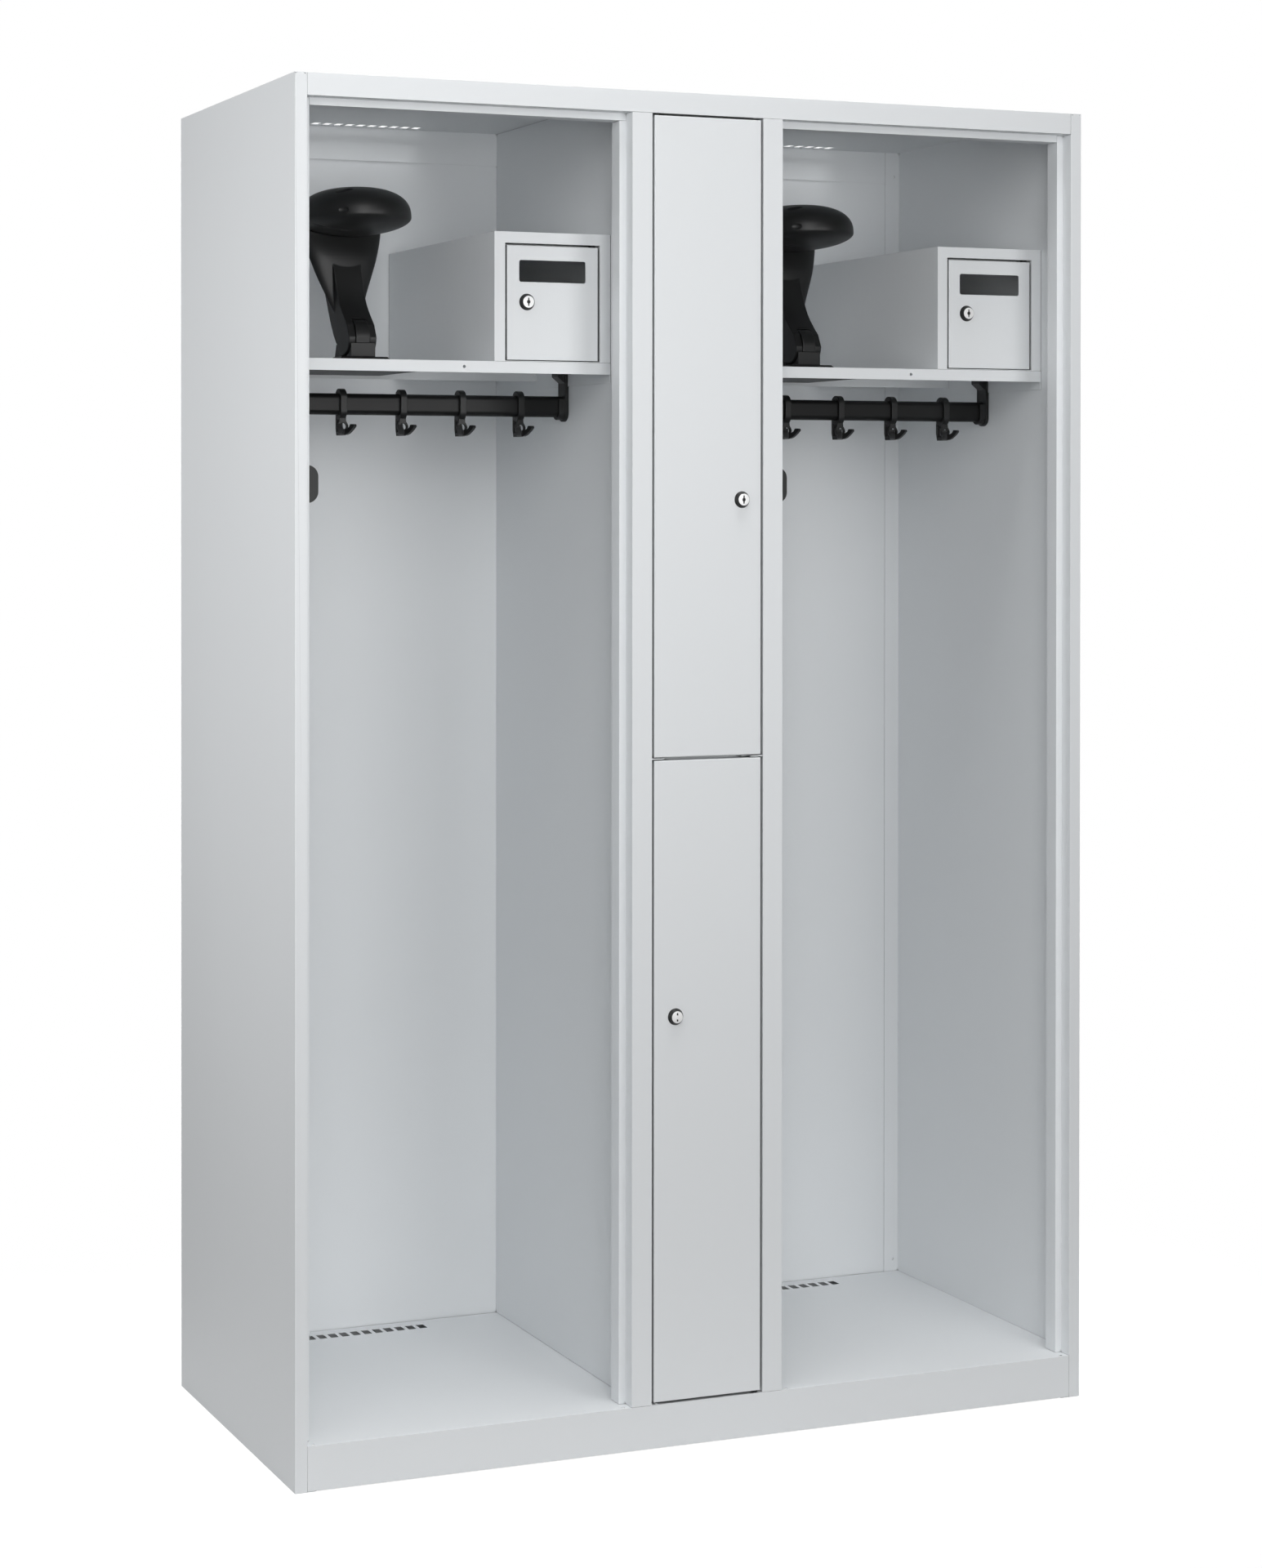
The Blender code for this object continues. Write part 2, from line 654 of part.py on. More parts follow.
def build_divider():
    """Level sheet between the two middle compartments, with a stop lip and two pivot tabs."""
    across = PARTITION_X - HALF_SHEET - GAP
    lip_across = DOOR_HALF_OPENING - GAP
    plate_front = LIP_BACK + GAP
    rear = FLANGE_FRONT - GAP
    low, high = DOOR_SPLIT_HEIGHT - HALF_SHEET, DOOR_SPLIT_HEIGHT + HALF_SHEET
    divider = block((-across, plate_front, low), (across, rear, high))
    lip = block(
        (-lip_across + LIP_WIDTH, LIP_FRONT, DOOR_SPLIT_HEIGHT - DIVIDER_LIP / 2),
        (lip_across - LIP_WIDTH, LIP_BACK, DOOR_SPLIT_HEIGHT + DIVIDER_LIP / 2),
    )
    nose = block(
        (-lip_across + LIP_WIDTH, LIP_FRONT + HALF_SHEET, low),
        (lip_across - LIP_WIDTH, plate_front + OVERRUN, high),
    )
    pieces = [lip, nose]
    half_tab = DIVIDER_TAB_THICKNESS / 2
    tab_low, tab_high = DOOR_SPLIT_HEIGHT - half_tab, DOOR_SPLIT_HEIGHT + half_tab
    root_across = lip_across - LIP_WIDTH
    for side in (-1, 1):
        left, right = between(side * lip_across, side * (lip_across - DIVIDER_TAB_WIDTH))
        pieces.append(block((left, FRONT + SHEET, tab_low), (right, LIP_FRONT - GAP, tab_high)))
        left, right = between(side * root_across, side * (root_across - DIVIDER_TAB_WIDTH))
        pieces.append(block((left, FRONT + REBATE_DEPTH / 2, tab_low), (right, LIP_BACK, tab_high)))
    join(divider, *pieces)
    middle = DOOR_HALF_OPENING - PIVOT_INSET
    cut(divider, *pivot_holes(DOOR_SPLIT_HEIGHT, (-middle, middle)))
    return finish(divider, "divider_shelf", "grey_powder_coat")


def door_pan(low, high, front):
    """A door sheet with its four edges folded back, open behind. low and high are (x, z) corners."""
    pan = block((low[0], front, low[1]), (high[0], front + DOOR_DEPTH, high[1]))
    shape = bmesh.new()
    shape.from_mesh(pan.data)
    edges = [edge for edge in shape.edges if all(vert.co.y < front + SHEET for vert in edge.verts)]
    bmesh.ops.bevel(
        shape, geom=edges, offset=DOOR_BEVEL, segments=2, profile=DOOR_BEVEL_SHARE, affect="EDGES"
    )
    shape.to_mesh(pan.data)
    shape.free()
    inside = block(
        (low[0] + SHEET, front + SHEET, low[1] + SHEET),
        (high[0] - SHEET, front + DOOR_DEPTH + OVERRUN, high[1] - SHEET),
    )
    return cut(pan, inside)


def cut_door(pan, front, lock, pivot_x, low_z, high_z):
    """Cuts the lock's hole and the two pivot holes of a door."""
    lock_hole = circle(lock, BARREL_DIAMETER + 2 * LOCK_PLAY, ROUND_STEPS)
    cutters = [prism(lock_hole, "Y", front - OVERRUN, front + SHEET + OVERRUN)]
    hole = circle((pivot_x, front + PIVOT_DEPTH), PIVOT_PIN + 2 * PIVOT_PLAY, ROUND_STEPS // 2)
    for level in (low_z + HALF_SHEET, high_z - HALF_SHEET):
        cutters.append(prism(hole, "Z", level - OVERRUN, level + OVERRUN))
    return cut(pan, *cutters)


def build_pivot(name, place, span, gap, finish_name):
    """An upright pin that spans two sheets, with a collar in the gap between them."""
    pin = prism(circle(place, PIVOT_PIN, ROUND_STEPS // 2), "Z", *span)
    collar = prism(circle(place, PIVOT_COLLAR, ROUND_STEPS), "Z", gap[0] + GAP, gap[1] - GAP)
    return finish(join(pin, collar), name, finish_name, smooth=True)


def build_lock(prefix, centre, front, swing):
    """Tapered rosette with barrel, turning plug and cam. swing is the side that the cam locks towards."""
    across, height = centre
    rear = front + BARREL_LENGTH
    face = front - ROSETTE_HEIGHT
    bore = PLUG_DIAMETER + 2 * LOCK_PLAY
    edges = ((ROSETTE_DIAMETER, front - GAP), (ROSETTE_DIAMETER, front - SHEET), (ROSETTE_FACE_DIAMETER, face))
    rings = [[(x, level, z) for x, z in circle(centre, width, ROUND_STEPS)] for width, level in edges]
    housing = loft(rings)
    barrel = prism(circle(centre, BARREL_DIAMETER, ROUND_STEPS), "Y", front - 2 * SHEET, rear)
    join(housing, barrel)
    cut(housing, prism(circle(centre, bore, ROUND_STEPS), "Y", face - OVERRUN, rear + OVERRUN))
    finish(housing, prefix + "_lock_housing", "black_plastic", smooth=True)

    head_front = face - GAP - PLUG_HEAD_HEIGHT
    plug = prism(circle(centre, PLUG_HEAD_DIAMETER, ROUND_STEPS), "Y", head_front, face - GAP)
    shaft = prism(circle(centre, PLUG_DIAMETER, ROUND_STEPS), "Y", head_front + PLUG_HEAD_HEIGHT / 2, rear)
    half_square = SQUARE_SIZE / 2
    square = block(
        (across - half_square, rear - SHEET, height - half_square),
        (across + half_square, rear + SQUARE_LENGTH, height + half_square),
    )
    join(plug, shaft, square)
    slot = block(
        (across - KEY_SLOT_WIDTH / 2, head_front - OVERRUN, height - KEY_SLOT_HEIGHT / 2),
        (across + KEY_SLOT_WIDTH / 2, head_front + KEY_SLOT_DEPTH, height + KEY_SLOT_HEIGHT / 2),
    )
    cut(plug, slot)
    finish(plug, prefix + "_lock_plug", "bright_steel", smooth=True)

    cam_front = rear + SHEET
    half_width = CAM_WIDTH / 2
    outline = arc((across, height - CAM_REACH + half_width), half_width, 180, 360, CORNER_STEPS * 2)
    outline += [(across + half_width, height + CAM_TAIL), (across - half_width, height + CAM_TAIL)]
    cam = prism(outline, "Y", cam_front, cam_front + CAM_THICKNESS)
    half_hole = half_square + GAP
    hole = block(
        (across - half_hole, cam_front - OVERRUN, height - half_hole),
        (across + half_hole, cam_front + CAM_THICKNESS + OVERRUN, height + half_hole),
    )
    cut(cam, hole)
    finish(cam, prefix + "_lock_cam", "zinc_steel")

    turning = axis_empty(prefix + "_lock_axis_" + swing, (across, front, height))
    carry(turning, plug, cam)
    return housing, turning


def build_middle_doors():
    """The two narrow doors of the middle column, one above the other, with locks and pivots."""
    half_gap = DOOR_MIDDLE_GAP / 2
    half_tab = DIVIDER_TAB_THICKNESS / 2
    split = DOOR_SPLIT_HEIGHT
    upper_lock = (DOOR_HALF_WIDTH - UPPER_LOCK_FROM_EDGE, split + UPPER_LOCK_ABOVE_SPLIT)
    lower_lock = (LOWER_LOCK_FROM_EDGE - DOOR_HALF_WIDTH, split - LOWER_LOCK_BELOW_SPLIT)
    spans = {
        "upper": (split + half_gap, OPENING_TOP - DOOR_TOP_GAP, -1, upper_lock),
        "lower": (FLOOR_TOP + DOOR_BOTTOM_GAP, split - half_gap, 1, lower_lock),
    }
    for level, (low_z, high_z, side, lock) in spans.items():
        pivot_x = side * (DOOR_HALF_OPENING - PIVOT_INSET)
        door = door_pan((-DOOR_HALF_WIDTH, low_z), (DOOR_HALF_WIDTH, high_z), FRONT)
        cut_door(door, FRONT, lock, pivot_x, low_z, high_z)
        finish(door, level + "_door", "grey_powder_coat")
        housing, turning = build_lock(level + "_door", lock, FRONT, "right" if side < 0 else "left")
        hinge = axis_empty(level + "_door_axis", (pivot_x, PIVOT_Y, low_z))
        carry(hinge, door, housing, turning)
        place = (pivot_x, PIVOT_Y)
        inner_low, inner_high = low_z + PIVOT_REACH, high_z - PIVOT_REACH
        if level == "upper":
            spans_and_gaps = {
                "top": ((inner_high, OPENING_TOP + PIVOT_REACH), (high_z, OPENING_TOP), "black_plastic"),
                "bottom": ((split - half_tab, inner_low), (split + half_tab, low_z), "zinc_steel"),
            }
        else:
            spans_and_gaps = {
                "top": ((inner_high, split + half_tab), (high_z, split - half_tab), "zinc_steel"),
                "bottom": ((FLOOR_TOP - PIVOT_REACH, inner_low), (FLOOR_TOP, low_z), "black_plastic"),
            }
        for end, (span, gap, finish_name) in spans_and_gaps.items():
            build_pivot(level + "_door_" + end + "_pivot", place, span, gap, finish_name)


def build_shelf(prefix, centre):
    """Hat shelf: a tray turned upside down, with a small hole in its front lip."""
    half = BAY_WIDTH / 2 - GAP
    low = (-half, SHELF_FRONT, SHELF_TOP - SHELF_FLANGE)
    shelf = block(low, (half, SHELF_REAR, SHELF_TOP))
    inside = block(
        (low[0] + SHEET, low[1] + SHEET, low[2] - OVERRUN),
        (half - SHEET, SHELF_REAR - SHEET, SHELF_TOP - SHEET),
    )
    trimmed = SHELF_TOP - SHELF_LIP
    front_trim = block(
        (low[0] + SHEET, low[1] - OVERRUN, low[2] - OVERRUN),
        (half - SHEET, low[1] + SHEET, trimmed),
    )
    rear_trim = block(
        (low[0] + SHEET, SHELF_REAR - SHEET, low[2] - OVERRUN),
        (half - SHEET, SHELF_REAR + OVERRUN, trimmed),
    )
    hole_place = (half - SHELF_HOLE_FROM_WALL, SHELF_TOP - SHELF_LIP / 2)
    hole = prism(circle(hole_place, SHELF_HOLE, ROUND_STEPS // 2), "Y", low[1] - OVERRUN, low[1] + OVERRUN)
    cut(shelf, inside, front_trim, rear_trim, hole)
    return shift(finish(shelf, prefix + "_hat_shelf", "grey_powder_coat"), (centre, 0, 0))


def build_value_box(prefix, centre):
    """Lockable box at the right of the shelf: shell, door with a window slot, lock and pivots."""
    rear = DEEPEST
    opening_left = BOX_LEFT + BOX_STILE
    opening_right = BOX_RIGHT - BOX_STILE
    opening_top = BOX_TOP - BOX_TOP_RAIL
    opening_bottom = BOX_BOTTOM + SHEET
    stop_front = BOX_FRONT + REBATE_DEPTH
    stop_back = stop_front + SHEET

    shell = block((BOX_LEFT, BOX_FRONT, BOX_BOTTOM), (BOX_RIGHT, rear, BOX_TOP))
    hollow = block(
        (BOX_LEFT + SHEET, BOX_FRONT + SHEET, opening_bottom),
        (BOX_RIGHT - SHEET, rear - SHEET, BOX_TOP - SHEET),
    )
    mouth = block(
        (opening_left, BOX_FRONT - OVERRUN, opening_bottom),
        (opening_right, BOX_FRONT + SHEET + OVERRUN, opening_top),
    )
    recess = block(
        (opening_left, BOX_FRONT - OVERRUN, BOX_BOTTOM - OVERRUN),
        (opening_right, BOX_FRONT + SHEET, opening_bottom + OVERRUN),
    )
    cut(shell, hollow, mouth, recess)
    returns = []
    for side, edge in ((-1, opening_left), (1, opening_right)):
        sheet = edge + side * HALF_SHEET
        stop = edge - side * (BOX_STOP_LIP - HALF_SHEET)
        stop_y = stop_front + HALF_SHEET
        path = [(sheet, BOX_FRONT + HALF_SHEET), (sheet, stop_y), (stop, stop_y)]
        returns.append(prism(folded_sheet(path), "Z", BOX_BOTTOM + HALF_SHEET, BOX_TOP - HALF_SHEET))
    top_path = [
        (BOX_FRONT + HALF_SHEET, opening_top + HALF_SHEET),
        (stop_front + HALF_SHEET, opening_top + HALF_SHEET),
        (stop_front + HALF_SHEET, opening_top - BOX_STOP_LIP),
    ]
    returns.append(prism(folded_sheet(top_path), "X", opening_left - HALF_SHEET, opening_right + HALF_SHEET))
    join(shell, *returns)

    door_left = opening_left + BOX_SIDE_GAP
    door_right = opening_right - BOX_SIDE_GAP
    door_bottom = opening_bottom + BOX_BOTTOM_GAP
    door_top = opening_top - BOX_TOP_GAP
    pivot_x = opening_right - PIVOT_INSET
    pivot_y = BOX_FRONT + PIVOT_DEPTH
    lock = (door_left + BOX_LOCK_FROM_EDGE, door_top - BOX_LOCK_FROM_TOP)
    door = door_pan((door_left, door_bottom), (door_right, door_top), BOX_FRONT)
    cut_door(door, BOX_FRONT, lock, pivot_x, door_bottom, door_top)
    window_right = door_right - WINDOW_FROM_EDGE
    window_top = door_top - WINDOW_FROM_TOP
    window = rounded_rectangle(
        (window_right - WINDOW_WIDTH, window_top - WINDOW_HEIGHT), (window_right, window_top), WINDOW_RADIUS
    )
    cut(door, prism(window, "Y", BOX_FRONT - OVERRUN, BOX_FRONT + SHEET + OVERRUN))

    hole = circle((pivot_x, pivot_y), PIVOT_PIN + 2 * PIVOT_PLAY, ROUND_STEPS // 2)
    for level in (BOX_BOTTOM + HALF_SHEET, opening_top + HALF_SHEET):
        cut(shell, prism(hole, "Z", level - OVERRUN, level + OVERRUN))
    place = (pivot_x, pivot_y)
    top_span, top_gap = (door_top - PIVOT_REACH, opening_top + PIVOT_REACH), (door_top, opening_top)
    top_pivot = build_pivot(prefix + "_box_top_pivot", place, top_span, top_gap, "black_plastic")
    low_span, low_gap = (BOX_BOTTOM, door_bottom + PIVOT_REACH), (opening_bottom, door_bottom)
    bottom_pivot = build_pivot(prefix + "_box_bottom_pivot", place, low_span, low_gap, "black_plastic")
    finish(shell, prefix + "_value_box", "grey_powder_coat")
    finish(door, prefix + "_box_door", "grey_powder_coat")
    housing, turning = build_lock(prefix + "_box", lock, BOX_FRONT, "left")
    hinge = axis_empty(prefix + "_box_door_axis", (pivot_x, pivot_y, door_bottom))
    carry(hinge, door, housing, turning)
    for piece in (shell, hinge, top_pivot, bottom_pivot):
        shift(piece, (centre, 0, 0))


def build_rail(prefix, centre):
    """Oval clothes rail, its two brackets and the five hooks that slide on it."""
    wall = BAY_WIDTH / 2
    rail_end = wall - GAP - BRACKET_PLATE - GAP
    half_depth, half_height = RAIL_DEPTH / 2, RAIL_HEIGHT / 2
    outline = upright_oval((RAIL_Y, RAIL_Z), half_depth, half_height)
    rail = prism(outline, "X", -rail_end, rail_end)
    bore = upright_oval((RAIL_Y, RAIL_Z), half_depth - RAIL_WALL, half_height - RAIL_WALL)
    cut(rail, prism(bore, "X", -rail_end - OVERRUN, rail_end + OVERRUN))
    finish(rail, prefix + "_clothes_rail", "black_tube", smooth=True)
    shift(rail, (centre, 0, 0))
    for side, side_name in ((-1, "left"), (1, "right")):
        bracket = build_bracket(side)
        finish(bracket, prefix + "_rail_bracket_" + side_name, "black_plastic", smooth=True)
        shift(bracket, (centre, 0, 0))
    for index in range(HOOK_COUNT):
        hook = build_hook()
        finish(hook, f"{prefix}_sliding_hook_{index + 1}", "black_plastic", smooth=True)
        slide = axis_empty(f"{prefix}_hook_axis_{index + 1}", (0, RAIL_Y, RAIL_Z))
        carry(slide, hook)
        shift(slide, (centre + HOOK_FIRST_X + index * HOOK_PITCH, 0, 0))


def build_bracket(side):
    """Hanging bracket: a plate on the wall, a cradle open at the top for the rail's end, and a gusset."""
    wall = side * (BAY_WIDTH / 2 - GAP)
    recess = wall - side * (SHEET + GAP)
    inner = wall - side * BRACKET_REACH
    plate_inner = wall - side * BRACKET_PLATE
    top = SHELF_TOP - SHEET - GAP
    half_width = BRACKET_WIDTH / 2
    foot = RAIL_Z - BRACKET_DROP + half_width
    half_bar = RAIL_DEPTH / 2 + GAP + SOCKET_WALL
    cradle_foot = RAIL_Z - (RAIL_HEIGHT - RAIL_DEPTH) / 2
    cradle_top = RAIL_Z + RAIL_HEIGHT / 2 - SOCKET_WALL

    outline = arc((RAIL_Y, foot), half_width, 180, 360, ROUND_STEPS // 2)
    outline += [(RAIL_Y + half_width, top), (RAIL_Y - half_width, top)]
    bracket = prism(outline, "X", *between(wall, plate_inner))
    outline = arc((RAIL_Y, cradle_foot), half_bar, 180, 360, ROUND_STEPS // 2)
    outline += [(RAIL_Y + half_bar, cradle_top), (RAIL_Y - half_bar, cradle_top)]
    cradle = prism(outline, "X", *between(plate_inner + side * SHEET, inner))
    outline = [
        (plate_inner + side * SHEET, top),
        (plate_inner - side * GUSSET_WIDTH, top),
        (plate_inner - side * GUSSET_WIDTH, top - 2 * SHEET),
        (plate_inner + side * SHEET, top - GUSSET_HEIGHT),
    ]
    gusset = prism(outline, "Y", RAIL_Y - half_bar + SHEET, RAIL_Y + half_bar - SHEET)
    join(bracket, cradle, gusset)
    hole = upright_oval((RAIL_Y, RAIL_Z), RAIL_DEPTH / 2 + GAP, RAIL_HEIGHT / 2 + GAP)
    cut(bracket, prism(hole, "X", *between(plate_inner, inner - side * OVERRUN)))
    room_low, room_high = between(recess, wall + side * OVERRUN)
    flange = SHELF_TOP - SHELF_FLANGE - GAP
    reach = half_width + OVERRUN
    return cut(bracket, block((room_low, RAIL_Y - reach, flange), (room_high, RAIL_Y + reach, top + OVERRUN)))


def build_hook():
    """Double hook that hangs from a closed band round the rail. It is modelled at the middle of the rail."""
    half_width, half_web, half_neck = HOOK_WIDTH / 2, HOOK_WEB / 2, HOOK_NECK_WIDTH / 2
    inner_width = RAIL_DEPTH / 2 + HOOK_PLAY
    inner_height = RAIL_HEIGHT / 2 + HOOK_PLAY
    outer_width = inner_width + HOOK_BAND
    outer_height = inner_height + HOOK_CROWN
    rear = RAIL_Y + outer_width - HOOK_STEP
    bottom = RAIL_Z - HOOK_DROP
    band_low = RAIL_Z - inner_height - HOOK_BAND / 2
    face = RAIL_Y - outer_width + HOOK_EYE_SETBACK
    eye = (0, RAIL_Z - HOOK_EYE_DROP)
    web_front = face + HOOK_EYE_THICKNESS / 2

    band = upright_oval((RAIL_Y, RAIL_Z), outer_width, outer_height, HOOK_STEPS)
    hook = prism(band, "X", -half_width, half_width)
    side_outline = [
        (web_front, band_low),
        (web_front, bottom + HOOK_FOOT / 2),
        (rear - HOOK_STRAP / 2, bottom + HOOK_FOOT / 2),
        (rear - HOOK_STRAP / 2, RAIL_Z - inner_height),
    ]
    strap_outline = [
        (rear - HOOK_STRAP, RAIL_Z),
        (rear - HOOK_STRAP, bottom + HOOK_FOOT),
        (face, bottom + HOOK_FOOT),
        (face, bottom),
        (rear - HOOK_HEEL, bottom),
        (rear, bottom + 2 * HOOK_FOOT),
        (rear, RAIL_Z),
    ]
    web = prism(side_outline, "X", -half_web, half_web)
    strap = prism(strap_outline, "X", -half_neck, half_neck)
    neck_rear = face + HOOK_EYE_THICKNESS - HOOK_STEP
    neck = block((-half_neck, face + HOOK_STEP, eye[1]), (half_neck, neck_rear, RAIL_Z - inner_height))
    ring = prism(circle(eye, HOOK_EYE_DIAMETER, HOOK_STEPS), "Y", face, face + HOOK_EYE_THICKNESS)
    join(hook, strap, web, neck, ring)
    for side in (-1, 1):
        join(hook, build_prong(side, face, bottom))
    through = upright_oval((RAIL_Y, RAIL_Z), inner_width, inner_height, HOOK_STEPS)
    cut(hook, prism(through, "X", -HOOK_WIDTH, HOOK_WIDTH))
    eye_rear = face + HOOK_EYE_THICKNESS + OVERRUN
    return cut(hook, prism(circle(eye, HOOK_EYE_HOLE, HOOK_STEPS), "Y", face - OVERRUN, eye_rear))


def build_prong(side, face, bottom):
    """One prong: it leaves the foot of the hook level, spreads outwards and turns up to a flat end."""
    outline = []
    for reach, rise in PRONG_SHARES:
        outline.append((-PRONG_ROOT - reach * PRONG_REACH, bottom + HOOK_STEP + rise * PRONG_RISE))
    prong = prism(outline, "X", -PRONG_WIDTH / 2, PRONG_WIDTH / 2)
    turn = Matrix.Rotation(math.radians(PRONG_SPREAD_DEG) * side, 4, "Z")
    prong.data.transform(Matrix.Translation((0, face + PRONG_ROOT, 0)) @ turn)
    return prong


def build_side_hook(prefix, centre):
    """Flat hook with a rounded nose on the left wall of a bay, near the front."""
    wall = GAP - BAY_WIDTH / 2
    nose = wall + TAB_REACH
    low, high = TAB_CENTRE_Z - TAB_HEIGHT / 2, TAB_CENTRE_Z + TAB_HEIGHT / 2
    outline = [(wall, high), (wall, low)]
    outline += arc((nose - TAB_RADIUS, low + TAB_RADIUS), TAB_RADIUS, 270, 360, CORNER_STEPS)
    outline += arc((nose - TAB_RADIUS, high - TAB_RADIUS), TAB_RADIUS, 0, 90, CORNER_STEPS)
    tab = prism(outline, "Y", TAB_FRONT, TAB_FRONT + TAB_THICKNESS)
    plate = block((wall, TAB_FRONT, low), (wall + TAB_PLATE, TAB_FRONT + TAB_PLATE_DEPTH, high))
    finish(join(tab, plate), prefix + "_side_hook", "black_plastic", smooth=True)
    shift(tab, (centre, 0, 0))


def build_helmet_holder(prefix, centre):
    """Folding helmet holder: foot with hinge block, arm with flared neck, and dome."""
    place = centre + HELMET_X
    foot = build_helmet_foot()
    arm = build_helmet_arm()
    dome = build_helmet_dome()
    finish(foot, prefix + "_helmet_foot", "black_plastic", smooth=True)
    finish(arm, prefix + "_helmet_arm", "black_plastic", smooth=True)
    finish(dome, prefix + "_helmet_dome", "black_plastic", smooth=True)
    fold = axis_empty(prefix + "_helmet_axis", (0, HINGE_Y, HINGE_Z))
    carry(fold, arm, dome)
    for piece in (foot, fold):
        shift(piece, (place, 0, 0))


def build_helmet_foot():
    """Bevelled foot plate, hinge block with two round pockets, tongue and pin."""
    base = SHELF_TOP + GAP
    plate_top = SHELF_TOP + FOOT_HEIGHT
    front, rear = HINGE_Y - FOOT_FRONT, HINGE_Y + FOOT_REAR
    taper = HINGE_Y + FOOT_TAPER_START
    rings = []
    for level, inset in ((base, 0), (plate_top, FOOT_BEVEL)):
        wide, narrow = FOOT_HALF_WIDTH - inset, FOOT_REAR_HALF_WIDTH - inset
        ring = [
            (-wide, front + inset, level),
            (wide, front + inset, level),
            (wide, taper, level),
            (narrow, rear - inset, level),
            (-narrow, rear - inset, level),
            (-wide, taper, level),
        ]
        rings.append(ring)
    foot = loft(rings)
    profile = [
        (HINGE_Y - BLOCK_FRONT, base + GAP),
        (HINGE_Y + BLOCK_REAR, base + GAP),
        (HINGE_Y + BLOCK_REAR_TOP, SHELF_TOP + BLOCK_TOP),
        (HINGE_Y - BLOCK_FRONT, SHELF_TOP + BLOCK_TOP),
    ]
    half_block, half_tongue = BLOCK_WIDTH / 2, TONGUE_WIDTH / 2
    hinge_block = prism(profile, "X", -half_block, half_block)
    for side in (-1, 1):
        inner, outer = side * (half_tongue - GAP), side * (half_block + OVERRUN)
        pocket = circle((HINGE_Y, HINGE_Z), 2 * (EAR_RADIUS + POCKET_PLAY), FINE_STEPS)
        cut(hinge_block, prism(pocket, "X", *between(inner, outer)))
    tongue_outline = arc((HINGE_Y, HINGE_Z), TONGUE_RADIUS, 0, 180, FINE_STEPS // 2)
    for side in (-1, 1):
        tongue_outline.append((HINGE_Y + side * TONGUE_RADIUS, plate_top - SHEET))
    tongue = prism(tongue_outline, "X", -half_tongue, half_tongue)
    half_span = EAR_SPAN / 2 - EAR_SKIN - EAR_PLAY
    pin = prism(circle((HINGE_Y, HINGE_Z), HINGE_PIN, ROUND_STEPS), "X", -half_span, half_span)
    return join(foot, hinge_block, tongue, pin)


def build_helmet_arm():
    """Arm with two round ears round the tongue. It leans back from the hinge and flares into the neck."""
    half_width, half_slot = EAR_SPAN / 2, TONGUE_WIDTH / 2 + EAR_PLAY
    hinge = (HINGE_Y, HINGE_Z)
    profile = arc(hinge, EAR_RADIUS, 180, EAR_END_DEG, FINE_STEPS // 2)
    for across, along in (ARM_FRONT_SHARES + ARM_REAR_SHARES)[::-1]:
        profile.append((HINGE_Y + across * EAR_RADIUS, HINGE_Z + along * EAR_RADIUS))
    arm = prism(profile, "X", -half_width, half_width)
    rings = []
    for width_share, depth_share, back_share, height_share in NECK_SHARES:
        centre = (0, HINGE_Y + NECK_TOP_SETBACK * back_share)
        radii = (NECK_TOP_HALF_WIDTH * width_share, NECK_TOP_HALF_DEPTH * depth_share)
        height = SHELF_TOP + NECK_TOP_HEIGHT * height_share
        rings.append([(*point, height) for point in arc(centre, radii, 0, 360, FINE_STEPS)[:-1]])
    rings.append([(*point[:2], SHELF_TOP + NECK_END_HEIGHT) for point in rings[-1]])
    join(arm, loft(rings))
    slot = prism(circle(hinge, 2 * (TONGUE_RADIUS + SLOT_PLAY), FINE_STEPS), "X", -half_slot, half_slot)
    reach = half_width - EAR_SKIN
    bore = prism(circle(hinge, HINGE_PIN + 2 * HINGE_PLAY, ROUND_STEPS), "X", -reach, reach)
    return cut(arm, slot, bore, build_helmet_dome(GAP))


def build_helmet_dome(allowance=0.0):
    """Oval cap with a flat crown, a tight rim and a shallow underside. An allowance makes it a cutter."""
    profile = []
    for height, power in ((-DOME_UNDERSIDE, DOME_UNDERSIDE_POWER), (DOME_CROWN, DOME_CROWN_POWER)):
        reach = height + math.copysign(allowance, height)
        side = []
        for step in range(CROWN_STEPS):
            share = math.sin(step / CROWN_STEPS * math.pi / 2)
            side.append(((1 - share ** power) ** (1 / power), reach * share))
        profile += side[:0:-1] if height < 0 else side
    rings = []
    for share, level in profile:
        radii = ((DOME_HALF_WIDTH + allowance) * share, (DOME_HALF_DEPTH + allowance) * share)
        ring = arc((0, DOME_Y), radii, 0, 360, FINE_STEPS)[:-1]
        rings.append([(*point, DOME_RIM_Z + level) for point in ring])
    return loft(rings)


for existing in list(bpy.data.objects):
    bpy.data.objects.remove(existing)
MATERIALS = make_materials()
build_side_panel("left_side_panel", mirrored=False)
build_side_panel("right_side_panel", mirrored=True)
build_partition("left_partition", -1)
build_partition("right_partition", 1)
build_roof()
build_floor()
build_back()
build_divider()
build_middle_doors()
for bay_name, bay_x in (("left", -BAY_CENTRE), ("right", BAY_CENTRE)):
    build_shelf(bay_name, bay_x)
    build_value_box(bay_name, bay_x)
    build_rail(bay_name, bay_x)
    build_side_hook(bay_name, bay_x)
    build_helmet_holder(bay_name, bay_x)
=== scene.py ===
"""Looks of the gear locker: finishes of the sheet steel and fittings, and the moulded pieces in full detail.

Metres, +Z up. The front faces -Y, and X = 0 is the middle of the cabinet.
"""

import json
import math

import bmesh
import bpy
from mathutils import Matrix, Vector


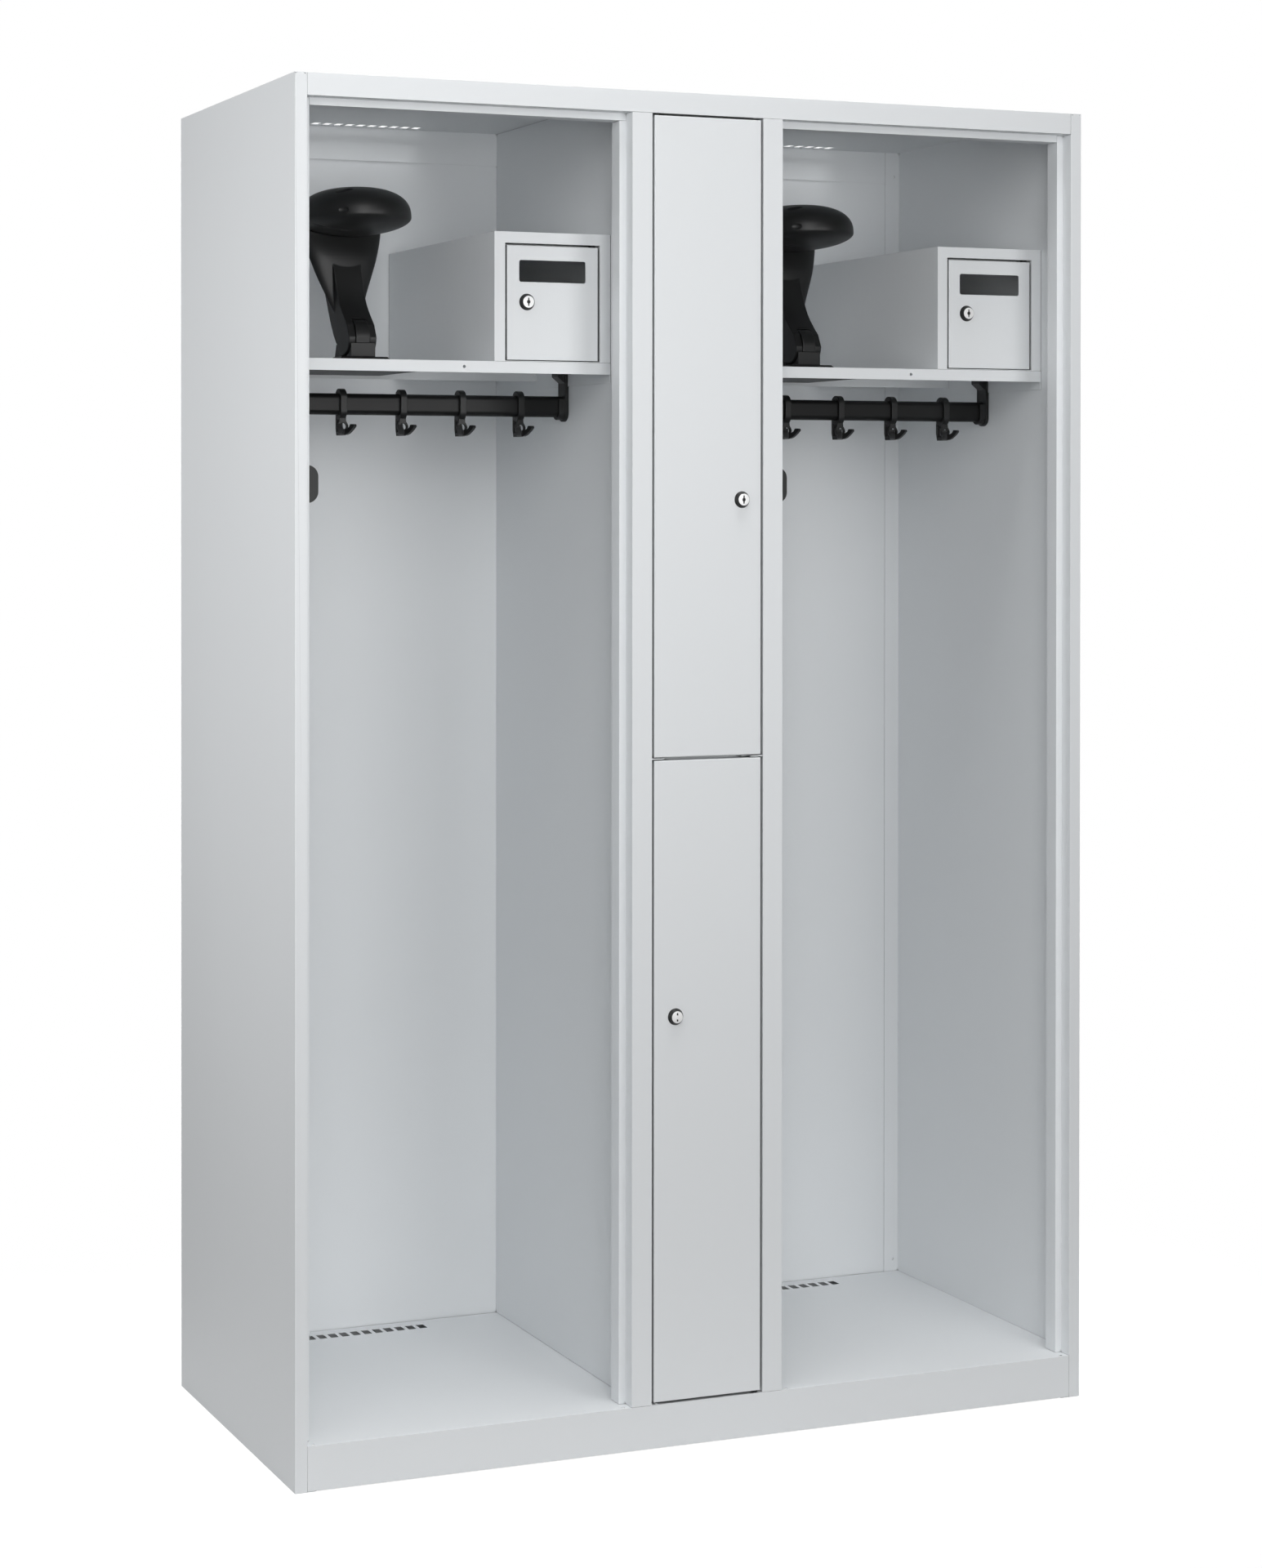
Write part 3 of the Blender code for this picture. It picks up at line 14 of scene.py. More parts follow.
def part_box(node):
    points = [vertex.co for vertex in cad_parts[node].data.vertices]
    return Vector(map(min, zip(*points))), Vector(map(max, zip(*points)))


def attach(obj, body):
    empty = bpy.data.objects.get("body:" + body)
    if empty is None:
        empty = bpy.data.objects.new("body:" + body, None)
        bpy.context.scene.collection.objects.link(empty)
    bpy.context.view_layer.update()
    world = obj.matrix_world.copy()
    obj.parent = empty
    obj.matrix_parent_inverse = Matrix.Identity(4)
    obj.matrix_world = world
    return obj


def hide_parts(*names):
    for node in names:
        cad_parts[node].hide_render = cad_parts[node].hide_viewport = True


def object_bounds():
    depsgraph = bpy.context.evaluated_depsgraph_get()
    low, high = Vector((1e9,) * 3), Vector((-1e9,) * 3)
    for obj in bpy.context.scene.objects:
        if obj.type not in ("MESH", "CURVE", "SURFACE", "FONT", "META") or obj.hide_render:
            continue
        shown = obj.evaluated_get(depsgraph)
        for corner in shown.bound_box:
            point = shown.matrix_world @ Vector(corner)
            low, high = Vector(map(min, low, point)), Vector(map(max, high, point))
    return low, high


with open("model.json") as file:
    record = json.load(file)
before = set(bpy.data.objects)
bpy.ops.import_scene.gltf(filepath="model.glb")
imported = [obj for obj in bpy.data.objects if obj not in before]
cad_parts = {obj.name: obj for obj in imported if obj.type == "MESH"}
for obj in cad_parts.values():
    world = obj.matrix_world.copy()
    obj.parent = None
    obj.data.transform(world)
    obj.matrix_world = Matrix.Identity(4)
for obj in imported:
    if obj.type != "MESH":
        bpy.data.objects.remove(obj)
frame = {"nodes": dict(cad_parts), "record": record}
CAD_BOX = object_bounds()

# Image and camera, fitted to the corners of the cabinet in the photograph
IMAGE_WIDTH = 1545
IMAGE_HEIGHT = 1920
FOCAL_PIXELS = 3587.73
AXIS_PIXEL = (430, 640)
CAMERA_PLACE = (-1.8624, -3.8396, 1.2898)
CAMERA_TURN_DEG = 20.477
CAMERA_DIP_DEG = 0.382
SENSOR = 36.0

# Studio: how strongly the surround lights the object, and soft boxes with place, size and power in watts
SURROUND = 0.02
SOFT_BOXES = {
    "far_low_box": ((-1.5, -4.13, 0.95), 1.8, 31.0),
    "far_high_box": ((-1.3, -3.58, 3.15), 1.8, 28.5),
    "front_box": ((-0.85, -2.33, 1.75), 1.2, 10.5),
    "right_box": ((0.85, -3.19, 1.4), 1.2, 24.0),
    "corner_box": ((-1.98, -1.39, 2.05), 1.2, 8.5),
    "side_box": ((-2.5, 0.0, 1.4), 1.2, 25.0),
    "top_box": ((0.0, -0.3, 4.8), 2.4, 152.0),
    "far_side_box": ((2.7, 0.35, 1.5), 1.4, 24.0),
    "rear_box": ((0.5, 3.0, 1.5), 1.6, 30.0),
}

FLOOR_RADIUS = 14.0
FLOOR_BELOW = 0.0002
FLOOR_FADE = (0.05, 0.70)
CLIP_END = 60.0

BAYS = ("left", "right")
HOOKS = 5
MM = 0.001

# Sizes shared with the solids, in metres
DOME_HALF_WIDTH = 0.0775
DOME_HALF_DEPTH = 0.094
DOME_CROWN = 0.043
DOME_UNDERSIDE = 0.023
DOME_CROWN_POWER = 2.5
DOME_UNDERSIDE_POWER = 1.85
DOME_BEHIND_HINGE = 0.010
DOME_RIM_ABOVE_HINGE = 0.166
HINGE_ABOVE_SHELF = 0.036
HINGE_BEHIND_FOOT = 0.040
EAR_RADIUS = 0.025
EAR_SPAN = 0.041
TONGUE_WIDTH = 0.020
TONGUE_RADIUS = 0.026
POCKET_RADIUS = 0.027
RAIL_DEPTH = 0.015
RAIL_HEIGHT = 0.030
RAIL_WALL = 0.0015

# Rail bracket: plate on the wall, cradle round the rail's end, gusset under the shelf
PLATE_RADIUS = 12.5 * MM
PLATE_THICKNESS = 5 * MM
CRADLE_REACH = 14 * MM
CRADLE_WALL = 3.9 * MM
CRADLE_BELOW_RAIL_TOP = 3.6 * MM
SOCKET_PLAY = 0.3 * MM
GUSSET_REACH = 11 * MM
GUSSET_TIP_HEIGHT = 12 * MM
GUSSET_ROOT_HEIGHT = 22 * MM
FLANGE_ROOM_HEIGHT = 26.3 * MM
FLANGE_ROOM_DEPTH = 1.3 * MM

# Helmet foot: bevelled plate that narrows to the rear, hinge block, pin and four screw sinks
FOOT_HALF_WIDTH = 42 * MM
FOOT_REAR_HALF_WIDTH = 29 * MM
FOOT_BEHIND_HINGE = 52 * MM
FOOT_THICKNESS = 8.1 * MM
FOOT_BEVEL = 8.4 * MM
BLOCK_HALF_WIDTH = 18 * MM
BLOCK_BEFORE_HINGE = 26 * MM
BLOCK_BEHIND_HINGE_BELOW = 43 * MM
BLOCK_BEHIND_HINGE_ABOVE = 33.5 * MM
BLOCK_TOP = 27.3 * MM
PIN_RADIUS = 3 * MM
SCREW_SINK_RADIUS = 3.6 * MM
SCREW_SINK_DEPTH = 2.4 * MM

# Groove in the underside of the helmet dome
GROOVE_HALF_WIDTH = 76 * MM
GROOVE_HALF_DEPTH = 36 * MM
GROOVE_START_DEG = 208
GROOVE_SWEEP_DEG = 50
GROOVE_STEPS = 24

# Sliding hook
HOOK_PLAY = 0.4 * MM
HOOK_BAND = 4.5 * MM
HOOK_CROWN = 6.2 * MM
HOOK_BOTTOM = -43.6 * MM
HOOK_EYE_LEVEL = -31.2 * MM
HOOK_HALF_WIDTH = 4.6 * MM
STRAP_HALF_WIDTH = 4.0 * MM
WEB_HALF_WIDTH = 1.8 * MM
RIB_HALF_WIDTH = 2.9 * MM
RIB_HALF_THICKNESS = 0.7 * MM
EYE_RADIUS = 8.0 * MM
EYE_HOLE_RADIUS = 5.0 * MM
EYE_PLATE = 3.6 * MM
PRONG_HALF_WIDTH = 3.5 * MM
PRONG_TURN_DEG = 31

# Side hook
NOSE_RADIUS = 15 * MM
BLADE_THICKNESS = 8 * MM
BASE_THICKNESS = 3 * MM

# Cylinder lock
PLUG_PROUD = 0.45 * MM
PLUG_SQUARE_HALF = 3.5 * MM
PLUG_SQUARE_LENGTH = 5.8 * MM
KEYHOLE_HALF_WIDTH = 1.05 * MM
KEYHOLE_HALF_HEIGHT = 5.8 * MM
KEYHOLE_RADIUS = 2.7 * MM
KEYHOLE_DEPTH = 2.6 * MM
GUIDE_RADIUS = 6.2 * MM
KEY_SLOT_HALF_WIDTH = 0.45 * MM
KEY_SLOT_HALF_HEIGHT = 5.2 * MM
CAM_CORNER = 2 * MM


class Value:
    """A socket that takes part in sums. Each operator adds one Math node."""

    def __init__(self, finish, socket):
        self.finish = finish
        self.socket = socket

    def sum(self, operation, *others):
        """The value with others in one operation. ABSOLUTE takes none, all the others take one."""
        inputs = dict(enumerate((self, *others)))
        return self.finish.node("ShaderNodeMath", {"operation": operation}, inputs)

    def taken_from(self, other):
        """The other less this value."""
        return self.finish.node("ShaderNodeMath", {"operation": "SUBTRACT"}, {0: other, 1: self})

    def __add__(self, other):
        return self.sum("ADD", other)

    def __radd__(self, other):
        return self.sum("ADD", other)

    def __sub__(self, other):
        return self.sum("SUBTRACT", other)

    def __rsub__(self, other):
        return self.taken_from(other)

    def __mul__(self, other):
        return self.sum("MULTIPLY", other)

    def __rmul__(self, other):
        return self.sum("MULTIPLY", other)

    def __pow__(self, other):
        return self.sum("POWER", other)

    def between(self, low, high):
        """0 below low, 1 above high and smooth between them."""
        settings = {"interpolation_type": "SMOOTHSTEP"}
        inputs = {"Value": self, "From Min": low, "From Max": high}
        return self.finish.node("ShaderNodeMapRange", settings, inputs)


class Finish:
    """One material. Its constant sockets are set at the start, and what varies is linked afterwards."""

    def __init__(self, name, **sockets):
        self.material = bpy.data.materials.new(name)
        self.material.use_nodes = True
        self.tree = self.material.node_tree
        self.shader = self.tree.nodes["Principled BSDF"]
        for socket, value in sockets.items():
            self.shader.inputs[socket.replace("_", " ")].default_value = value
        self.place = self.node("ShaderNodeTexCoord", output="Object")

    def node(self, kind, settings=(), inputs=(), output=0):
        """Adds a node: its settings first, then the values or links of its sockets."""
        made = self.tree.nodes.new(kind)
        for name, value in dict(settings).items():
            setattr(made, name, value)
        for name, value in dict(inputs).items():
            if isinstance(value, Value):
                self.tree.links.new(value.socket, made.inputs[name])
            else:
                made.inputs[name].default_value = value
        return Value(self, made.outputs[output])

    def feed(self, socket, value):
        """Links a value to a socket of the shader."""
        self.tree.links.new(value.socket, self.shader.inputs[socket])

    def noise(self, scale, detail=2.0, roughness=0.5, place=None):
        """Even noise from 0 to 1. scale is in cells for each metre."""
        inputs = {"Vector": place or self.place, "Scale": scale, "Detail": detail, "Roughness": roughness}
        return self.node("ShaderNodeTexNoise", {"noise_dimensions": "3D"}, inputs)

    def stretched(self, scale):
        """Place in the object, with each axis scaled by its own factor."""
        settings = {"operation": "MULTIPLY"}
        return self.node("ShaderNodeVectorMath", settings, {0: self.place, 1: scale})

    def along(self, axis):
        """Place in the object along one axis."""
        return self.node("ShaderNodeSeparateXYZ", inputs={"Vector": self.place}, output=axis)

    def mix(self, factor, first, second):
        """Colour between two colours."""
        inputs = {"Factor": factor, 6: first, 7: second}
        return self.node("ShaderNodeMix", {"data_type": "RGBA"}, inputs, output=2)

    def nook(self, reach):
        """How open the surface is, for painting shade into narrow gaps: 1 where nothing is near, towards 0
        deep in a narrow gap.
        """
        return self.node("ShaderNodeAmbientOcclusion", {"samples": 8}, {"Distance": reach}, "AO")

    def bump(self, height, distance, strength):
        """Relief from a height between 0 and 1. distance is its depth in metres."""
        inputs = {"Height": height, "Distance": distance, "Strength": strength}
        return self.node("ShaderNodeBump", inputs=inputs)


def shade(colour, factor):
    """A linear colour made darker or lighter, with full alpha."""
    return (*(part * factor for part in colour), 1.0)


def powder_coat():
    """Light grey powder coat: orange peel, faint clouds and specks, and painted shade that turns it almost
    black deep in narrow gaps.
    """
    grey = (0.778, 0.800, 0.817)
    finish = Finish("light grey powder coat", Metallic=0.0, IOR=1.48)
    cloud = finish.noise(2.2, detail=3.0)
    speck = finish.noise(1400.0, detail=1.0)
    peel = finish.noise(620.0, detail=2.0, roughness=0.55)
    ripple = finish.noise(34.0, detail=2.0)
    tone = finish.mix(cloud, shade(grey, 0.985), shade(grey, 1.015))
    tone = finish.mix(speck.between(0.62, 0.78) * 0.35, tone, shade(grey, 0.93))
    # Painted shade: the colour turns almost black where ambient occlusion finds a narrow gap, standing in
    # for the shadow deep in gaps and folds.
    painted_gap_shade = finish.nook(6 * MM).between(0.12, 0.54)
    finish.feed("Base Color", finish.mix(painted_gap_shade, shade(grey, 0.05), tone))
    finish.feed("Roughness", 0.40 + cloud * 0.06 + peel * 0.07)
    height = peel * 0.8 + ripple * 0.2
    finish.feed("Normal", finish.bump(height, 0.05 * MM, 0.35))
    return finish.material


def black_plastic():
    """Black moulded plastic: satin, with a fine spark texture and faint clouds from the moulding."""
    black = (0.0100, 0.0103, 0.0106)
    finish = Finish("black moulded plastic", Metallic=0.0, IOR=1.45)
    grain = finish.noise(2600.0, detail=1.5)
    flow = finish.noise(26.0, detail=3.0, roughness=0.6)
    tone = finish.mix(flow, shade(black, 0.85), shade(black, 1.20))
    finish.feed("Base Color", tone)
    finish.feed("Roughness", 0.36 + flow * 0.08 + grain * 0.06)
    finish.feed("Normal", finish.bump(grain, 0.02 * MM, 0.25))
    return finish.material


def black_tube():
    """Black coat on the oval tube: smoother than the plastic, with faint lines along the tube."""
    black = (0.0085, 0.0088, 0.0090)
    finish = Finish("black coated tube", Metallic=0.0, IOR=1.33)
    lines = finish.noise(1.0, detail=2.0, place=finish.stretched((9.0, 1100.0, 1100.0)))
    cloud = finish.noise(30.0, detail=2.0)
    finish.feed("Base Color", finish.mix(cloud, shade(black, 0.9), shade(black, 1.15)))
    finish.feed("Roughness", 0.34 + cloud * 0.05 + lines * 0.06)
    finish.feed("Normal", finish.bump(lines, 0.01 * MM, 0.3))
    return finish.material


def painted_shade_steel():
    """Steel channel in a dark grey that is painted shade, standing for the shade under the shelf: matt, a
    little clouded, with a fine grain.
    """
    grey = (0.060, 0.063, 0.066)
    finish = Finish("steel in painted shade", Metallic=0.0, IOR=1.45)
    cloud = finish.noise(12.0, detail=3.0)
    grain = finish.noise(900.0, detail=1.5)
    finish.feed("Base Color", finish.mix(cloud, shade(grey, 0.9), shade(grey, 1.1)))
    finish.feed("Roughness", 0.50 + cloud * 0.08 + grain * 0.06)
    finish.feed("Normal", finish.bump(grain, 0.03 * MM, 0.3))
    return finish.material


def bright_steel():
    """Satin nickel with its colour lifted nearly to white as painted reflection of a white soft box, and
    fine turning lines round the axis of each lock.
    """
    # Painted reflection: the near white colour stands for the white soft box that the bright plug face
    # reflects.
    nickel_and_reflection = (0.97, 0.97, 0.97)
    finish = Finish("satin nickel plate", Metallic=0.15, IOR=1.9)
    lines = finish.noise(1.0, detail=2.0, place=finish.stretched((3800.0, 200.0, 3800.0)))
    cloud = finish.noise(160.0, detail=2.0)
    finish.feed("Base Color", finish.mix(cloud, shade(nickel_and_reflection, 0.96), shade(nickel_and_reflection, 1.0)))
    finish.feed("Roughness", 0.34 + lines * 0.08 + cloud * 0.05)
    finish.feed("Normal", finish.bump(lines, 0.004 * MM, 0.3))
    return finish.material


def zinc_steel():
    """Zinc plating: pale, a little blue and cloudy."""
    zinc = (0.56, 0.58, 0.60)
    finish = Finish("zinc plated steel", Metallic=1.0)
    cloud = finish.noise(240.0, detail=3.0, roughness=0.6)
    streak = finish.noise(1.0, detail=2.0, place=finish.stretched((300.0, 2400.0, 300.0)))
    finish.feed("Base Color", finish.mix(cloud, shade(zinc, 0.82), shade(zinc, 1.08)))
    finish.feed("Roughness", 0.34 + cloud * 0.14 + streak * 0.05)
    finish.feed("Normal", finish.bump(streak, 0.006 * MM, 0.3))
    return finish.material


def studio_floor():
    """Pale studio paper with a faint fibre, which only the camera sees glow. It fades into the backdrop."""
    finish = Finish("pale studio floor", Roughness=0.9, Emission_Strength=0.8)
    fibre = finish.noise(90.0, detail=2.0)
    finish.feed("Base Color", finish.mix(fibre, (0.36, 0.36, 0.36, 1.0), (0.40, 0.40, 0.40, 1.0)))
    finish.feed("Emission Color", finish.node("ShaderNodeLightPath", output="Is Camera Ray"))
    beside = (finish.along(0).sum("ABSOLUTE") - CAD_BOX[1].x).sum("MAXIMUM", 0.0)
    before = (finish.along(1).sum("ABSOLUTE") - CAD_BOX[1].y).sum("MAXIMUM", 0.0)
    away = (beside * beside + before * before) ** 0.5
    finish.feed("Alpha", 1.0 - away.between(*FLOOR_FADE))
    return finish.material


FINISHES = {
    "powder_coat": powder_coat(),
    "black_plastic": black_plastic(),
    "black_tube": black_tube(),
    "painted_shade_steel": painted_shade_steel(),
    "bright_steel": bright_steel(),
    "zinc_steel": zinc_steel(),
}


def paint(piece, finish_name):
    """Gives a piece one finish all over."""
    piece.data.materials.clear()
    piece.data.materials.append(FINISHES[finish_name])


def soften(piece, width, segments=2, angle_deg=30):
    """Rounds the edges of a piece, as a folded sheet or a moulding has them."""
    bevel = piece.modifiers.new("edges", "BEVEL")
    bevel.width = width
    bevel.segments = segments
    bevel.limit_method = "ANGLE"
    bevel.angle_limit = math.radians(angle_deg)
    bevel.use_clamp_overlap = True
    bevel.harden_normals = True


def dress_all_nodes():
    """Finishes every CAD node as the record says, and breaks the sharp edges of the folded sheets."""
    for entry in frame["record"]["subparts"]:
        piece = frame["nodes"][entry["node"]]
        paint(piece, entry["material_slot"])
        welded = piece.modifiers.new("weld", "WELD")
        welded.merge_threshold = 0.01 * MM
        soften(piece, 0.3 * MM, 2, 40)


def object_from(name, shape):
    """An object from a bmesh, with its faces turned outwards."""
    bmesh.ops.recalc_face_normals(shape, faces=shape.faces)
    mesh = bpy.data.meshes.new(name)
    shape.to_mesh(mesh)
    shape.free()
    piece = bpy.data.objects.new(name, mesh)
    bpy.context.scene.collection.objects.link(piece)
    return piece


def arc(centre, radii, start_deg, end_deg, steps):
    """Points along a round or elliptic arc, both ends included."""
    points = []
    for step in range(steps + 1):
        angle = math.radians(start_deg + (end_deg - start_deg) * step / steps)
        points.append((centre[0] + radii[0] * math.cos(angle), centre[1] + radii[1] * math.sin(angle)))
    return points


def disc(centre, radius, steps=48):
    """Points round a whole circle."""
    return arc(centre, (radius, radius), 0, 360, steps)[:-1]


def square_about(centre, half):
    """Corners of a square about a middle."""
    return [(centre[0] + x * half, centre[1] + z * half) for x, z in ((-1, -1), (1, -1), (1, 1), (-1, 1))]


def upright_slot(centre, half_width, half_height, steps=48):
    """Two half circles joined by straight upright sides."""
    rise = half_height - half_width
    radii = (half_width, half_width)
    top = arc((centre[0], centre[1] + rise), radii, 0, 180, steps // 2)
    return top + arc((centre[0], centre[1] - rise), radii, 180, 360, steps // 2)


def loft(rings, closed_ends=True):
    """A skin through rings that have the same number of points."""
    shape = bmesh.new()
    levels = [[shape.verts.new(point) for point in ring] for ring in rings]
    if closed_ends:
        shape.faces.new(levels[0])
        shape.faces.new(levels[-1])
    for lower, upper in zip(levels, levels[1:]):
        for index in range(len(lower)):
            following = (index + 1) % len(lower)
            shape.faces.new((lower[index], lower[following], upper[following], upper[index]))
    return object_from("loft", shape)


def prism(outline, axis, low, high):
    """A closed outline pushed along an axis. Its points are (x, y) for Z, (y, z) for X and (x, z) for Y."""
    order = {"X": (2, 0, 1), "Y": (0, 2, 1), "Z": (0, 1, 2)}[axis]
    rings = []
    for level in sorted((low, high)):
        rings.append([[(*point, level)[place] for place in order] for point in outline])
    return loft(rings)


def turned(profile, centre, steps=64):
    """A piece turned on a lathe about an axis along Y. The profile is a closed list of (radius, y)."""
    rings = []
    for radius, level in profile:
        rings.append([(x, level, z) for x, z in disc(centre, radius, steps)])
    rings.append(rings[0])
    piece = loft(rings, closed_ends=False)
    weld(piece)
    return piece


def weld(piece):
    """Merges points that lie on each other and turns the faces outwards."""
    shape = bmesh.new()
    shape.from_mesh(piece.data)
    bmesh.ops.remove_doubles(shape, verts=shape.verts, dist=0.001 * MM)
    bmesh.ops.recalc_face_normals(shape, faces=shape.faces)
    shape.to_mesh(piece.data)
    shape.free()


def bake_modifiers(piece):
    """Turns the modifiers of a piece into plain mesh."""
    bpy.context.view_layer.update()
    graph = bpy.context.evaluated_depsgraph_get()
    mesh = bpy.data.meshes.new_from_object(piece.evaluated_get(graph))
    piece.modifiers.clear()
    piece.data = mesh


def combine(base, tools, operation):
    """Joins the tools to the base or cuts them from it, and deletes them."""
    for tool in tools:
        modifier = base.modifiers.new(operation.title(), "BOOLEAN")
        modifier.operation = operation
        modifier.solver = "EXACT"
        modifier.object = tool
    bake_modifiers(base)
    for tool in tools:
        bpy.data.objects.remove(tool)


def join(base, *tools):
    """Makes one piece of the base and the tools."""
    combine(base, tools, "UNION")


def cut(base, *tools):
    """Cuts the tools from the base."""
    combine(base, tools, "DIFFERENCE")


def moulded(piece, cell, passes):
    """Gives a piece the soft edges of a moulding: an even fine skin, smoothed a few times."""
    skin = piece.modifiers.new("skin", "REMESH")
    skin.mode = "VOXEL"
    skin.voxel_size = cell
    soft = piece.modifiers.new("soft", "SMOOTH")
    soft.factor = 0.5
    soft.iterations = passes
    bake_modifiers(piece)
    piece.data.shade_smooth()
    return piece


def smooth_shaded(piece, angle_deg=35):
    """Smooth shading with sharp edges wherever faces meet at more than the angle."""
    piece.data.shade_smooth()
    piece.data.set_sharp_from_angle(angle=math.radians(angle_deg))


def fit(piece, name, finish_name, body, *nodes):
    """Names a finished piece, gives it its finish and its body, and lets it stand for its CAD nodes."""
    piece.name = name
    piece.data.name = name
    paint(piece, finish_name)
    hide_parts(*nodes)
    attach(piece, body)


def bean(centre, radii, turns_deg):
    """An egg shaped cutter, turned about Y, then X, then Z."""
    shape = bmesh.new()
    bmesh.ops.create_uvsphere(shape, u_segments=40, v_segments=24, radius=1.0)
    piece = object_from("bean", shape)
    turn = Matrix.Identity(4)
    for axis, angle in zip("YXZ", turns_deg):
        turn = Matrix.Rotation(math.radians(angle), 4, axis) @ turn
    size = Matrix.Diagonal((*radii, 1.0))
    piece.data.transform(Matrix.Translation(centre) @ turn @ size)
    return piece


def tube_along(path, radii, steps=12):
    """A tube through points, with its own radius at each, as a cutter for grooves."""
    rings = []
    for index, point in enumerate(path):
        here = Vector(point)
        ahead = Vector(path[min(index + 1, len(path) - 1)]) - Vector(path[max(index - 1, 0)])
        turn = ahead.to_track_quat("Y", "Z")
        rings.append([here + turn @ Vector((x, 0, z)) for x, z in disc((0, 0), radii[index], steps)])
    return loft(rings)


def helmet_hinge(bay):
    """Place of the helmet holder's hinge, from its foot."""
    low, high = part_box(bay + "_helmet_foot")
    return Vector(((low.x + high.x) / 2, low.y + HINGE_BEHIND_FOOT, low.z + HINGE_ABOVE_SHELF - 0.3 * MM))


def dome_radii(share, allowance=0.0):
    """Half width and half depth of the dome at a share of its rim."""
    return ((DOME_HALF_WIDTH + allowance) * share, (DOME_HALF_DEPTH + allowance) * share)


def dome_skin(centre, steps=112, levels=30, allowance=0.0):
    """Oval cap with a flat crown, a tight rim and a shallow underside."""
    profile = []
    for height, power in ((-DOME_UNDERSIDE, DOME_UNDERSIDE_POWER), (DOME_CROWN, DOME_CROWN_POWER)):
        reach = height + math.copysign(allowance, height)
        side = []
        for step in range(levels):
            share = math.sin(step / levels * math.pi / 2)
            side.append(((1 - share ** power) ** (1 / power), reach * share))
        profile += side[:0:-1] if height < 0 else side
    rings = []
    for share, level in profile:
        ring = arc((centre.x, centre.y), dome_radii(share, allowance), 0, 360, steps)[:-1]
        rings.append([(*point, centre.z + level) for point in ring])
    return loft(rings)


def underside_level(x, y):
    """Height of the dome's underside below its rim, at a place measured from its middle."""
    share = min(1.0, math.hypot(x / DOME_HALF_WIDTH, y / DOME_HALF_DEPTH))
    power = DOME_UNDERSIDE_POWER
    return -DOME_UNDERSIDE * (1 - share ** power) ** (1 / power)


# Finger dimples in the cap: place from its middle and radii in millimetres, and turns in degrees
DIMPLES = [
    ((-45.6, -77.6, 4.6), (8.8, 3.4, 5.0), (0, 0, -34)),
    ((-33.5, -55.0, 35.2), (14.5, 7.5, 5.0), (-18, 24, -12)),
]


def make_helmet_dome(bay):
    """The cap: two oval finger dimples at the front left and a thin groove in the underside."""
    centre = helmet_hinge(bay) + Vector((0, DOME_BEHIND_HINGE, DOME_RIM_ABOVE_HINGE))
    dome = dome_skin(centre)
    dimples = []
    for place, radii, turns_deg in DIMPLES:
        dimples.append(bean(centre + Vector(place) * MM, Vector(radii) * MM, turns_deg))
    path, radii = [], []
    for step in range(GROOVE_STEPS + 1):
        angle = math.radians(GROOVE_START_DEG + GROOVE_SWEEP_DEG * step / GROOVE_STEPS)
        x, y = GROOVE_HALF_WIDTH * math.cos(angle), GROOVE_HALF_DEPTH * math.sin(angle)
        path.append(centre + Vector((x, y, underside_level(x, y))))
        radii.append((0.25 + 0.95 * math.sin(math.pi * step / GROOVE_STEPS) ** 0.5) * MM)
    cut(dome, *dimples, tube_along(path, radii))
    smooth_shaded(dome, 30)
    fit(dome, bay + "_helmet_cap", "black_plastic", bay + "_helmet_holder", bay + "_helmet_dome")


# Side profile of the holder's arm from the hinge, as shares of the ear's radius: front edge upwards
ARM_FRONT = [(-0.64, 0.72), (0, 1.32), (0.44, 1.80), (0.68, 2.14), (0.86, 2.45), (1.02, 2.78), (1.20, 3.20)]
ARM_FRONT += [(1.42, 3.75), (1.70, 4.45), (2.0, 5.20)]
# Rear edge of the same profile, downwards
ARM_REAR = [(2.96, 5.20), (3.12, 3.68), (2.96, 2.60), (2.02, 0.88), (1.55, 0.20), (1.07, -0.32)]
# Neck sections upwards, in metres: half width, half depth, distance behind the hinge, height above it
NECK = [
    (0.0132, 0.0054, 0.0238, 0.0295),
    (0.0204, 0.0081, 0.0340, 0.0361),
    (0.0315, 0.0110, 0.0449, 0.0650),
    (0.0420, 0.0137, 0.0515, 0.0914),
    (0.0510, 0.0160, 0.0561, 0.1169),
    (0.0600, 0.0180, 0.0660, 0.1460),
    (0.0600, 0.0180, 0.0660, 0.1640),
]


def eased(rows, parts):
    """Rows of numbers with smooth rows added between them."""
    made = []
    for index in range(len(rows) - 1):
        before, here = rows[max(index - 1, 0)], rows[index]
        after, beyond = rows[index + 1], rows[min(index + 2, len(rows) - 1)]
        for part in range(parts):
            t = part / parts
            row = []
            for a, b, c, d in zip(before, here, after, beyond):
                bend = (2 * b, c - a, 2 * a - 5 * b + 4 * c - d, 3 * b - a - 3 * c + d)
                row.append(0.5 * (bend[0] + bend[1] * t + bend[2] * t * t + bend[3] * t ** 3))
            made.append(tuple(row))
    made.append(tuple(rows[-1]))
    return made


